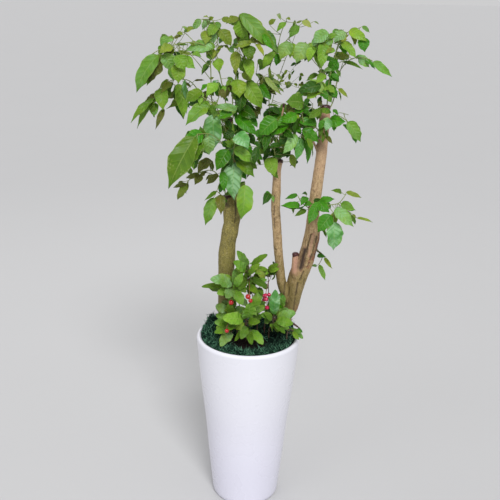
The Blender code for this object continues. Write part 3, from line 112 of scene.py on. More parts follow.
# The leafy shoots. Each stalk is a list of (across, up, depth), the stem first.
# Each leaf is (base across, up, tip across, up, width).
SHOOTS = {
    "leafy_shoot_left_outer_high": {
        "seat": "trunk_left",
        "stalks": [
            [(-6.6, 121.5, 1), (-9.3, 125, 0), (-11.9, 131, -1), (-12.4, 141, -3), (-13.2, 146, -4),
             (-17, 147.6, -5), (-22, 147.0, -6), (-26.5, 145.6, -6), (-30, 143.6, -6)],
            [(-17, 147.6, -5), (-20.3, 150.4, -4), (-23, 148.8, -4)],
            [(-12.4, 141, -3), (-16, 143.8, -7), (-20.5, 144.2, -9)],
        ],
        "leaves": [(-27.4, 144.0, -33.8, 133.2, 4.2), (-26.3, 142.8, -30.0, 136.0, 4.3),
                   (-29.3, 140.0, -30.8, 135.2, 1.8), (-25.6, 144.4, -23.4, 139.6, 3.8),
                   (-22.0, 144.0, -19.9, 139.6, 3.6), (-21.6, 141.6, -21.6, 136.0, 3.6),
                   (-20.2, 143.4, -16.7, 140.3, 2.8), (-11.8, 146.4, -19.8, 145.2, 3.3),
                   (-23.4, 146.6, -27.2, 144.4, 2.4), (-24.3, 149.0, -26.7, 146.2, 2.2),
                   (-19.4, 150.6, -16.9, 151.6, 1.4)],
    },
    "leafy_shoot_left_outer_low": {
        "seat": "trunk_left",
        "stalks": [
            [(-6.4, 119.0, 2), (-9.8, 123.5, 4), (-14, 131, 5), (-18, 136.6, 4), (-22.3, 137.2, 3),
             (-25.6, 136.0, 2), (-28.3, 133.4, 1)],
        ],
        "leaves": [(-26.6, 134.6, -26.2, 128.2, 3.7), (-28.6, 133.0, -32.3, 128.0, 1.2),
                   (-28.9, 131.6, -35.8, 124.3, 2.0), (-28.2, 131.4, -34.0, 122.6, 1.9),
                   (-28.3, 130.4, -29.0, 126.2, 2.0), (-26.0, 128.8, -28.6, 122.6, 1.6),
                   (-21.8, 136.0, -20.3, 125.8, 3.3), (-20.2, 136.2, -19.3, 127.4, 1.9),
                   (-23.6, 136.4, -26.9, 133.2, 1.8)],
    },
    "leafy_shoot_left_top": {
        "seat": "trunk_left",
        "stalks": [
            [(-6.9, 124.8, 1), (-8.0, 131, 0), (-9.6, 138.5, -1), (-10.6, 144, -2), (-10.6, 150, -2),
             (-11.8, 153.6, -2), (-14.8, 154.0, -1)],
            [(-9.6, 138.5, -1), (-11.6, 142.6, -3), (-13.2, 145.4, -5)],
        ],
        "leaves": [(-15.2, 153.9, -17.6, 151.0, 1.8), (-12.6, 154.0, -14.7, 154.5, 1.0),
                   (-13.6, 150.9, -14.0, 146.9, 2.8), (-10.9, 152.4, -13.1, 149.3, 2.6),
                   (-11.4, 150.6, -11.6, 147.2, 1.5), (-9.9, 151.2, -6.5, 146.7, 3.2),
                   (-10.1, 143.4, -9.9, 139.5, 2.8), (-12.6, 142.4, -15.0, 138.6, 1.4),
                   (-11.6, 146.0, -12.6, 142.6, 1.9), (-9.3, 154.2, -6.6, 153.2, 1.7)],
    },
    "leafy_shoot_left_crest": {
        "seat": "trunk_left",
        "stalks": [
            [(-6.8, 125.6, 1), (-6.0, 133, 1), (-5.0, 140, 1), (-4.6, 147, 0), (-4.7, 152.6, -1),
             (-4.4, 155.4, -2)],
            [(-4.6, 147, 0), (-2.2, 148.4, -2), (0.4, 147.6, -3)],
        ],
        "leaves": [(-4.2, 155.6, 7.0, 145.0, 3.6), (-4.3, 153.8, -3.4, 148.7, 4.5),
                   (-4.8, 154.6, -8.2, 152.8, 1.9), (-1.6, 147.2, -1.8, 143.0, 3.3),
                   (-5.4, 145.4, -5.3, 139.0, 2.6), (-1.9, 143.4, -0.7, 137.4, 2.8),
                   (0.4, 147.6, 2.9, 143.9, 1.3), (-0.2, 148.4, 3.1, 147.0, 0.9),
                   (-1.0, 147.8, -5.6, 146.3, 1.9), (-5.0, 137.6, -4.0, 132.2, 4.2)],
    },
    "leafy_shoot_left_inner": {
        "seat": "trunk_left",
        "stalks": [
            [(-6.4, 116.0, 1), (-4.2, 123.5, 3), (-2.6, 130, 3), (-2.0, 137.2, 2)],
            [(-2.6, 130, 3), (0.6, 135.0, 4), (3.0, 138.6, 5)],
        ],
        "leaves": [(-2.0, 136.8, 2.7, 129.4, 4.4), (1.6, 136.0, 5.1, 132.0, 2.6),
                   (-3.0, 134.6, -4.0, 128.0, 3.0), (-5.2, 127.2, 1.8, 121.2, 3.2),
                   (-3.4, 129.0, 1.2, 126.4, 3.2), (2.2, 130.0, 0.4, 126.4, 1.6),
                   (3.2, 138.4, 8.2, 133.4, 1.5), (-6.6, 136.0, -8.6, 131.8, 1.6)],
    },
    "leafy_shoot_left_middle": {
        "seat": "trunk_left",
        "stalks": [
            [(-6.6, 120.6, 0), (-8.6, 124.6, -4), (-10.6, 129.4, -7), (-12.4, 131.0, -8), (-15, 132.6, -8)],
            [(-10.6, 129.4, -7), (-9.8, 133.6, -6), (-10.2, 136.4, -6)],
        ],
        "leaves": [(-10.4, 136.4, -13.6, 132.4, 2.9), (-9.8, 134.6, -8.2, 132.0, 2.0),
                   (-15.0, 134.2, -19.4, 130.6, 3.1), (-13.2, 130.0, -19.7, 124.0, 4.0),
                   (-4.6, 129.2, -12.0, 129.6, 2.0), (-11.6, 127.4, -11.6, 116.6, 4.8),
                   (-6.4, 128.4, -10.2, 126.0, 2.8), (-5.4, 122.6, -8.8, 120.4, 2.4)],
    },
    "leafy_shoot_left_hanging": {
        "seat": "trunk_left",
        "stalks": [
            [(-5.8, 114.6, 0), (-8.6, 118.8, -6), (-12.4, 121.6, -10), (-16.4, 121.6, -12)],
        ],
        "leaves": [(-14.6, 121.8, -20.9, 118.0, 4.0), (-17.0, 120.8, -25.0, 104.8, 6.2),
                   (-15.4, 120.2, -18.8, 111.6, 4.6), (-14.4, 121.0, -15.4, 124.0, 1.8),
                   (-13.0, 121.0, -12.8, 115.4, 3.2), (-17.2, 115.6, -17.2, 110.8, 1.9)],
    },
    "leafy_shoot_left_shaded": {
        "seat": "trunk_left",
        "stalks": [
            [(-7.6, 102.2, 0), (-8.4, 106.8, 4), (-11.4, 110.6, 6), (-15, 110.2, 7), (-19.2, 107.4, 7)],
        ],
        "leaves": [(-19.0, 106.6, -22.3, 101.4, 2.3), (-19.6, 106.6, -23.6, 105.2, 1.1),
                   (-12.4, 114.2, -16.2, 109.6, 3.1), (-15.2, 109.4, -17.1, 106.2, 2.3),
                   (-15.7, 109.6, -19.8, 108.2, 1.6), (-10.0, 109.6, -13.6, 106.5, 2.0)],
    },
    "leafy_shoot_left_low": {
        "seat": "trunk_left",
        "stalks": [
            [(-7.4, 100.6, 0), (-9.2, 103.4, -4), (-10.6, 104.6, -5)],
        ],
        "leaves": [(-10.6, 104.4, -14.2, 101.4, 1.1), (-11.4, 102.4, -13.9, 93.6, 3.3),
                   (-9.4, 103.4, -9.1, 97.0, 2.6), (-8.8, 110.6, -8.3, 104.2, 2.2)],
    },
    "leafy_shoot_left_front": {
        "seat": "trunk_left",
        "stalks": [
            [(-5.5, 111.4, 0), (-5.6, 114.6, -5), (-5.2, 119.4, -8)],
        ],
        "leaves": [(-7.2, 117.2, -10.6, 110.7, 3.8), (-5.4, 117.6, 0.4, 113.2, 3.2),
                   (-4.6, 114.4, 0.9, 108.9, 3.2), (1.6, 118.2, 0.8, 112.4, 2.2),
                   (-4.8, 121.8, -1.0, 117.6, 4.2), (-5.0, 113.4, -5.0, 101.6, 5.2)],
    },
    "leafy_shoot_left_broad": {
        "seat": "trunk_left",
        "stalks": [
            [(-4.3, 103.6, 0), (-3.0, 106.4, -4), (-2.0, 107.0, -5)],
        ],
        "leaves": [(-2.0, 106.6, -3.0, 95.6, 5.0), (-3.4, 107.2, -7.0, 103.6, 2.0)],
    },
    "leafy_shoot_centre_low": {
        "seat": "trunk_right",
        "stalks": [
            [(7.6, 102.0, 0), (6.4, 103.6, -3), (5.6, 104.2, -3)],
        ],
        "leaves": [(5.4, 104.2, 3.5, 100.4, 2.2), (6.4, 103.4, 6.9, 101.2, 0.9)],
    },
    "leafy_shoot_centre_front": {
        "seat": "trunk_right",
        "stalks": [
            [(7.8, 113.4, 0), (6.6, 117.0, -5), (7.4, 121.4, -7), (8.6, 125.6, -7)],
            [(6.6, 117.0, -5), (4.6, 119.4, -7), (4.2, 122.4, -7)],
        ],
        "leaves": [(4.4, 122.0, 3.4, 116.4, 2.0), (8.4, 119.0, 4.7, 117.9, 1.7),
                   (9.4, 115.8, 4.2, 115.9, 1.8), (4.8, 115.0, 6.9, 109.2, 3.6),
                   (6.9, 126.5, 1.8, 121.5, 4.5), (10.5, 125.2, 5.2, 121.4, 3.2),
                   (12.8, 122.2, 9.1, 116.2, 2.8), (12.8, 127.8, 8.2, 125.6, 2.8),
                   (9.6, 122.8, 12.3, 120.8, 2.0), (11.6, 116.2, 13.0, 111.9, 1.8)],
    },
    "leafy_shoot_centre_back": {
        "seat": "trunk_right",
        "stalks": [
            [(7.7, 111.8, 1), (5.4, 119.5, 6), (4.8, 128, 8), (4.4, 140.2, 8), (6.6, 145.6, 7),
             (9.6, 149.4, 6), (11.6, 152.4, 6)],
            [(6.6, 145.6, 7), (7.4, 150.6, 6), (8.9, 154.0, 5)],
        ],
        "leaves": [(10.2, 148.2, 7.4, 143.2, 3.8), (7.0, 145.0, 6.3, 141.6, 2.0),
                   (5.8, 145.4, 2.4, 140.4, 2.4), (3.4, 143.4, 1.5, 140.2, 1.9),
                   (8.7, 153.6, 6.1, 150.8, 1.5), (8.8, 154.7, 10.0, 154.2, 1.0),
                   (12.2, 152.8, 9.8, 149.3, 2.2), (4.0, 153.0, 5.9, 154.4, 1.4),
                   (5.2, 137.6, 8.3, 136.0, 1.1), (6.5, 139.2, 8.2, 137.4, 1.1),
                   (9.4, 135.6, 11.4, 136.9, 1.1), (8.0, 128.4, 3.6, 129.2, 2.0),
                   (13.2, 154.0, 16.0, 152.3, 1.7)],
    },
    "leafy_shoot_right_top": {
        "seat": "trunk_right",
        "stalks": [
            [(20.6, 130.2, 1), (19.4, 135.2, 0), (18.9, 141, -1), (18.2, 146.0, -3), (17.6, 148.6, -4)],
            [(18.9, 141, -1), (16.4, 144.0, 0), (14.6, 148.2, 1)],
        ],
        "leaves": [(14.8, 148.0, 12.0, 142.4, 4.2), (16.8, 147.2, 15.3, 142.9, 2.2),
                   (20.5, 151.4, 16.4, 147.9, 3.2), (22.2, 149.4, 19.6, 147.4, 2.0),
                   (19.4, 148.4, 19.2, 141.0, 3.0), (18.0, 139.4, 15.0, 137.5, 1.1),
                   (20.2, 139.6, 18.0, 136.8, 2.2), (19.4, 136.4, 12.3, 134.3, 3.0),
                   (18.6, 135.4, 15.4, 132.0, 3.0), (22.3, 146.8, 20.2, 145.2, 1.3),
                   (18.6, 144.6, 16.6, 144.4, 2.6)],
    },
    "leafy_shoot_right_arching": {
        "seat": "trunk_right",
        "stalks": [
            [(21.2, 130.3, 1), (21.6, 137, 2), (22.6, 143, 2), (24.2, 148.6, 1), (26.4, 151.4, 0),
             (29.6, 152.6, -1)],
        ],
        "leaves": [(25.4, 151.4, 22.4, 148.3, 2.9), (26.4, 150.4, 23.8, 149.8, 1.2),
                   (26.6, 151.8, 31.9, 148.8, 2.6), (30.4, 149.9, 31.4, 145.9, 3.0),
                   (30.2, 153.0, 32.4, 151.3, 1.1), (24.6, 148.6, 29.2, 144.0, 2.4),
                   (24.6, 147.6, 26.2, 145.0, 1.5), (27.6, 150.8, 28.6, 147.8, 1.4),
                   (23.6, 143.6, 21.4, 140.4, 3.0), (21.4, 140.0, 24.6, 137.4, 2.4)],
    },
    "leafy_shoot_right_far": {
        "seat": "trunk_right",
        "stalks": [
            [(21.3, 127.4, 1), (23.4, 133.0, 5), (24.4, 140.0, 6), (27.4, 143.8, 5), (31.0, 144.4, 3),
             (33.6, 143.7, 2)],
        ],
        "leaves": [(34.0, 143.4, 39.7, 139.2, 2.1), (27.0, 144.6, 22.7, 143.9, 2.3),
                   (29.8, 144.3, 33.0, 141.8, 2.3), (25.6, 143.2, 31.2, 141.1, 1.1),
                   (20.4, 135.8, 24.3, 132.8, 3.5), (24.5, 135.6, 27.4, 133.1, 1.2)],
    },
    "leafy_shoot_right_side": {
        "seat": "trunk_right",
        "stalks": [
            [(20.9, 123.2, 1), (22.0, 126.6, -3), (24.6, 127.9, -4), (27.4, 126.6, -4)],
        ],
        "leaves": [(23.2, 129.6, 24.9, 127.9, 1.1), (22.4, 126.6, 27.2, 126.2, 3.0),
                   (27.8, 126.2, 31.9, 120.3, 3.2), (22.2, 127.2, 20.4, 123.6, 2.3),
                   (23.6, 126.0, 23.9, 123.2, 1.5), (21.6, 121.8, 23.7, 119.5, 1.2)],
    },
    "leafy_shoot_right_inner": {
        "seat": "trunk_right",
        "stalks": [
            [(20.7, 121.0, 1), (18.6, 124.2, -3), (15.6, 124.6, -5), (14.4, 127.6, -5), (14.6, 131.4, -5)],
            [(15.6, 124.6, -5), (14.6, 121.6, -6)],
        ],
        "leaves": [(18.6, 125.8, 12.8, 125.2, 3.0), (14.6, 123.6, 19.6, 119.7, 3.2),
                   (14.4, 120.9, 13.2, 114.3, 2.4), (15.4, 120.7, 16.4, 113.3, 2.1),
                   (19.4, 129.2, 16.1, 126.7, 2.0), (16.0, 132.6, 14.8, 130.0, 1.3),
                   (14.8, 129.6, 11.4, 127.7, 1.9), (14.5, 131.4, 9.4, 131.5, 4.4)],
    },
    "leafy_shoot_low_left": {
        "seat": "trunk_right",
        "stalks": [
            [(18.9, 98.6, 0), (17.0, 100.2, -3), (15.2, 101.6, -4), (14.2, 103.4, -4)],
        ],
        "leaves": [(13.9, 103.9, 10.1, 102.4, 1.3), (14.8, 100.6, 8.9, 100.3, 1.9),
                   (16.8, 99.2, 13.3, 97.1, 1.5), (16.8, 104.3, 15.2, 104.2, 0.9),
                   (16.9, 103.2, 15.1, 100.4, 1.9), (18.3, 101.4, 16.0, 100.2, 1.6)],
    },
    "leafy_shoot_low_front": {
        "seat": "trunk_right",
        "stalks": [
            [(19.0, 95.6, -1), (20.4, 99.2, -6), (23.6, 100.8, -7), (26.6, 101.6, -7), (28.6, 104.4, -6)],
            [(23.6, 100.8, -7), (25.2, 98.4, -9)],
        ],
        "leaves": [(20.2, 101.9, 23.9, 98.5, 3.0), (19.6, 100.6, 17.7, 94.6, 2.8),
                   (20.8, 102.3, 25.3, 102.8, 1.8), (27.2, 104.9, 23.9, 105.4, 1.3),
                   (28.6, 105.0, 33.4, 103.3, 1.4), (27.4, 101.6, 31.9, 99.4, 2.3),
                   (25.6, 99.8, 31.6, 94.1, 3.3), (24.4, 97.8, 20.6, 92.1, 3.8),
                   (25.4, 95.6, 25.8, 86.4, 4.6), (32.4, 97.0, 37.4, 95.6, 0.9)],
    },
    "leafy_shoot_low_back": {
        "seat": "trunk_right",
        "stalks": [
            [(19.3, 89.0, 0), (20.8, 86.6, 6), (22.4, 84.2, 7), (21.6, 81.8, 7)],
        ],
        "leaves": [(20.9, 84.6, 23.7, 84.2, 1.4), (23.2, 84.0, 25.8, 80.3, 1.2),
                   (20.9, 81.3, 19.2, 81.0, 0.9), (21.6, 81.6, 23.8, 76.4, 1.6)],
    },
}
BACK_EVERY = 5
BACK_DEPTHS = (11, 15, 9, 18, 13)
BACK_STALK_DEPTHS = (13, 11, 15, 9, 17, 7, 20)
BACK_STALK_SAG = Vector((0, 0.01, 0.012))
BACK_STALK_START = 0.4
LEAF_FACES = Vector((0.0, -0.85, 0.52))
LEAF_FACES_ELSE = Vector((0.3, -0.6, 0.74))

# The low plants with berries. foot is where the stem stands in the soil.
# A leaf's row may end with its tip's depth.
LOW_PLANTS = {
    "berry_plant_crest": {
        "foot": (0.028, 0.004),
        "stalks": [
            [(2.2, 63, 0), (1.2, 70, -2), (-0.1, 76.2, -3), (-0.2, 80.4, -4)],
        ],
        "leaves": [(-0.4, 81.0, -4.0, 85.7, 2.1, -6), (0.6, 80.8, 5.5, 84.6, 1.9, -6),
                   (-1.4, 79.2, -5.1, 82.1, 2.7, -9), (-0.2, 77.4, 3.3, 81.5, 1.8, -9),
                   (-0.8, 76.4, -0.7, 81.2, 1.7, -2), (-0.2, 74.0, 2.7, 71.7, 1.9, -9),
                   (1.0, 76.0, 5.6, 73.6, 2.0, -8), (-0.8, 75.4, -3.4, 72.6, 1.7, -8),
                   (2.4, 75.6, 5.6, 76.2, 1.5, -7), (2.6, 73.4, 4.4, 71.2, 1.4, -8)],
    },
    "berry_plant_thin": {
        "foot": (0.052, 0.012),
        "stalks": [
            [(5.8, 63, 2), (6.1, 72, 1), (5.9, 77.0, 0), (5.9, 79.0, 0)],
        ],
        "leaves": [(6.0, 79.3, 8.9, 81.6, 1.8, -2), (5.6, 79.5, 2.0, 80.3, 1.3, -2),
                   (4.6, 78.6, 3.0, 76.0, 1.9, -3), (5.6, 77.4, 2.4, 79.0, 1.5, 4),
                   (6.2, 78.2, 8.2, 78.1, 0.9, 3), (6.3, 79.0, 9.3, 80.1, 1.2, -3)],
    },
    "berry_plant_left": {
        "foot": (-0.020, 0.006),
        "stalks": [
            [(-2.2, 63, -1), (-3.2, 68.4, -3), (-4.8, 73.2, -6)],
        ],
        "leaves": [(-6.0, 74.0, -15.0, 73.4, 1.6, -7), (-5.4, 74.2, -12.3, 76.0, 3.4, -11),
                   (-5.6, 73.2, -7.4, 69.8, 3.2, -13), (-4.6, 72.4, -2.1, 67.5, 2.9, -12),
                   (-3.2, 73.6, -0.9, 71.8, 1.5, -8), (-4.0, 73.8, -4.6, 79.6, 2.4, -7),
                   (-4.6, 71.4, -1.8, 74.0, 1.9, 3), (-4.2, 73.6, -2.0, 78.2, 2.2, -8),
                   (-5.6, 72.8, -10.2, 71.2, 2.4, -10)],
    },
    "berry_plant_low_left": {
        "foot": (-0.036, -0.020),
        "stalks": [
            [(-4.4, 60.0, -4), (-5.4, 63.6, -6)],
        ],
        "leaves": [(-6.4, 65.0, -10.5, 67.2, 2.6, -4), (-5.0, 64.8, -6.4, 67.9, 2.3, -9),
                   (-6.3, 61.6, -10.9, 61.4, 2.7, -10), (-5.8, 59.4, -11.0, 57.7, 2.1, -11),
                   (-5.4, 57.8, -8.9, 52.8, 3.0, -12.5), (-4.0, 64.2, -2.6, 67.0, 2.2, -2),
                   (-4.2, 64.6, -6.6, 68.4, 2.2, -6), (-4.2, 61.2, -6.6, 58.6, 2.0, -11)],
    },
    "berry_plant_front": {
        "foot": (-0.006, -0.034),
        "stalks": [
            [(-0.8, 59.6, -5), (-0.8, 62.6, -7)],
        ],
        "leaves": [(-1.8, 62.6, -8.3, 63.0, 3.6, -13), (-0.8, 63.0, 0.4, 68.4, 4.2, -10),
                   (0.2, 64.0, 3.9, 72.4, 3.0, -6), (0.0, 62.2, 3.8, 61.8, 2.0, -11),
                   (-0.8, 60.2, -2.4, 55.6, 2.4, -12), (0.0, 59.0, 1.3, 53.7, 2.1, -12),
                   (0.6, 58.6, 4.8, 53.8, 2.7, -11), (-1.8, 58.8, -4.3, 54.8, 1.3, -11),
                   (1.4, 65.4, 5.0, 67.6, 2.0, -8), (1.2, 62.6, 4.4, 64.2, 1.6, -4)],
    },
    "berry_plant_right": {
        "foot": (0.066, -0.022),
        "stalks": [
            [(7.4, 60.0, -3), (8.2, 62.8, -5)],
        ],
        "leaves": [(8.0, 64.6, 8.2, 73.0, 3.0, -6), (8.8, 64.2, 11.0, 71.2, 2.7, -3),
                   (9.2, 63.4, 15.0, 65.2, 2.9, -7), (9.0, 62.4, 14.3, 61.2, 2.8, -10),
                   (8.0, 61.4, 11.8, 57.8, 1.8, -11), (7.4, 62.4, 4.9, 65.2, 1.8, -6),
                   (7.8, 63.8, 6.2, 68.4, 2.0, 0)],
    },
    "rim_sprig": {
        "foot": (0.122, -0.052),
        "stalks": [
            [(13.2, 59.4, -5.4), (14.2, 59.2, -6)],
        ],
        "leaves": [(14.6, 59.0, 17.0, 57.9, 1.3, -8), (14.6, 58.8, 17.7, 56.2, 1.4, -9),
                   (14.4, 58.6, 16.4, 55.8, 1.3, -10)],
    },
}

# Berries: (across, up, depth, radius) in centimetres
BERRIES = {
    "berry_left": ("berry_plant_left", [(-5.6, 68.3, -9, 0.80)]),
    "berries_centre": ("berry_plant_crest", [(-0.3, 70.4, -10, 0.80), (0.5, 69.0, -11, 0.65)]),
    "berries_crimson": ("berry_plant_thin", [(4.5, 70.8, -6, 0.62), (6.3, 71.2, -6, 0.60),
                                             (5.4, 69.7, -8, 0.66), (5.2, 71.0, -8.4, 0.58),
                                             (4.7, 69.5, -5, 0.58), (5.8, 66.8, -6, 0.68)]),
    "berry_low_left": ("berry_plant_low_left", [(-6.9, 58.4, -13.2, 0.66)]),
}
HUB_ABOVE_BUNCH = Vector((0, 0.006, 0.016))
HUB_ABOVE_BERRY = Vector((0, 0.004, 0.012))

# A blade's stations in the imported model:
# (share of its length, share of its half width, rise of its left and right edges)
BLADE_LARGE = [(0.15, 0.66, 0.32, 0.17), (0.42, 1.0, 0.16, 0.32), (0.74, 0.58, 0.32, 0.20)]
BLADE_MIDDLE = [(0.26, 0.92, 0.28, 0.18), (0.64, 0.76, 0.18, 0.30)]
BLADE_SMALL = [(0.42, 1.0, 0.26, 0.20)]
LARGE_BLADE = 0.062
SMALL_BLADE = 0.026
ARCH = 0.11
BROADER = 1.12
SAMPLE_STEP = 0.005
SAMPLE_INSET = 0.003
DETOUR_COST = 1.7
SHORTEST_REACH = 0.004
STEM_RADIUS = 0.0029
STEM_TIP = 0.0018
STEM_FOOT = 0.505
STEM_STRAIGHT = 0.604
STEM_STEP_OUT = 0.006
STALK_RADIUS = 0.0018
STALK_TIP = 0.0015
STALK_SIDES = 4
BENDS = (0, -1, 1, -2, 2, -3, 3, -4.5, 4.5, -6, 6, -8, 8, -10, 10)
LEAN_LEAST = -3.2
LEAN_MOST = 0.6
ROLL_DEGREES = 16
TURNS = (0.0, 0.35, -0.35)
BEND_OF_BASE = 0.7
BEND_OF_TIP = 0.3
DEPTH_AT_BASE = 0.25
BEND_OF_SET_TIP = 0.5

# How near a packed corner lies to its worked-out place, and the least share of corners that must be found
FOUND_WITHIN = 0.00005
LEAF_FOUND = 0.4
STALK_FOUND = 0.5

# The finer shape of the leaves: veins on each side and their slant, edges, thickness, rib and mesh
VEINS = 6.5
VEIN_SLANT = 0.17
VEIN_RAISED = 0.0005
EDGE_WAVES = {"doll": (1.6, 2.6), "oval": (3.0, 4.0)}
SICKLE = 0.10
HALF_THICKNESS = 0.00030
RIB_HALF_WIDTH = 0.10
RIB_GROOVE = 0.0003
RIB_RIDGE = 0.0011
WIDE_COLUMNS = (-1, -0.8, -0.55, -0.3, -0.09, 0, 0.09, 0.3, 0.55, 0.8, 1)
FEW_COLUMNS = (-1, -0.62, -0.12, 0, 0.12, 0.62, 1)
LARGE_ROWS = 21
MIDDLE_ROWS = 15
SMALL_ROWS = 9
SHADES = {"doll": (0.76, 1.14), "oval": (0.58, 1.14)}
STALK_SLIM = 0.62
FOLIAGE_SEED = 300
EXTRA_SEED = 77

# The finer shape of the wood, the wax, the berries, the moss and the soil
LIMB_STEP = 0.006
SMOOTH_SIDES = 40
BARK_VOXEL = 0.0021
FLAKE_VOXEL = 0.0008
WAX_SIDES = 24
WAX_PROFILE = [(0.0, 0.0034), (0.45, 0.0033), (0.80, 0.0026), (1.00, 0.0008), (1.07, -0.0020),
               (1.06, -0.0055), (0.99, -0.0062), (0.80, -0.0040), (0.0, -0.0035)]
BERRY_SIDES = 22
BERRY_RINGS = 14
MOSS_ROUNDS = 180
MOSS_RINGS = 14
MOSS_STRANDS = 8000
MOSS_SEED = 5
SOIL_REACH = 0.145
SOIL_CRUMBS = 1500
CRUMB_SEED = 11

# The studio
FLOOR_REACH = 400.0
FLOOR_COLOUR = (0.515, 0.515, 0.520)
HORIZON_COLOUR = (0.615, 0.615, 0.622)
SUN_POWER = 2.4
SUN_ANGLE = 20.0
SUN_PLACE = (0.7, -3.0, 3.9)
SUN_TARGET = (0, 0, 1.0)
FILL_POWER = 16.0
BACK_POWER = 12.0
LENS = 54.0
SENSOR_WIDTH = 36.0
CAMERA_DOWN = 18.6
CAMERA_ROLL = 1.24

# Tints by letter: a colour, and how strong the painted sheen between the veins is, a painted reflection
TINT_COLOURS = {
    "b": (0.185, 0.345, 0.030, 0.0), "m": (0.135, 0.290, 0.024, 0.12), "n": (0.215, 0.375, 0.060, 0.25),
    "g": (0.046, 0.205, 0.002, 0.05), "k": (0.092, 0.190, 0.012, 0.0), "p": (0.150, 0.305, 0.048, 0.42),
    "w": (0.090, 0.270, 0.050, 0.75), "o": (0.190, 0.260, 0.028, 0.0), "y": (0.215, 0.300, 0.080, 0.0),
    # d and q, the darkest tints, are painted shade, for leaves deep in the crown and leaves in shadow
    "d": (0.022, 0.085, 0.001, 0.04), "q": (0.105, 0.115, 0.018, 0.0),
}
# A letter for each leaf, in the order of the rows
TINTS = {
    "leafy_shoot_left_outer_high": "mqkpmbbpopo", "leafy_shoot_left_outer_low": "bqkkmqbwo",
    "leafy_shoot_left_top": "poobpobkoo", "leafy_shoot_left_crest": "mbokoboqob",
    "leafy_shoot_left_inner": "bgdgdqyq", "leafy_shoot_left_middle": "bqkmpwgb",
    "leafy_shoot_left_hanging": "gkkkpk", "leafy_shoot_left_shaded": "oqqqqq",
    "leafy_shoot_left_low": "kmqg", "leafy_shoot_left_front": "gmkdww", "leafy_shoot_left_broad": "mm",
    "leafy_shoot_centre_low": "dp", "leafy_shoot_centre_front": "dddbggpgdo",
    "leafy_shoot_centre_back": "ngbmmomoyyydy", "leafy_shoot_right_top": "nbppbkbgbob",
    "leafy_shoot_right_arching": "pobgpbgogg", "leafy_shoot_right_far": "mopkgo",
    "leafy_shoot_right_side": "ggmpgq", "leafy_shoot_right_inner": "ggwgkdgk",
    "leafy_shoot_low_left": "ggkdgg", "leafy_shoot_low_front": "gggkompgwo",
    "leafy_shoot_low_back": "gopm", "berry_plant_crest": "mkmbkkkkmk", "berry_plant_thin": "bbkmbb",
    "berry_plant_left": "kpnmkmkmb", "berry_plant_low_left": "pkmmnmkk",
    "berry_plant_front": "bmmkmkmkmk", "berry_plant_right": "wgpmkmk", "rim_sprig": "mmb",
}
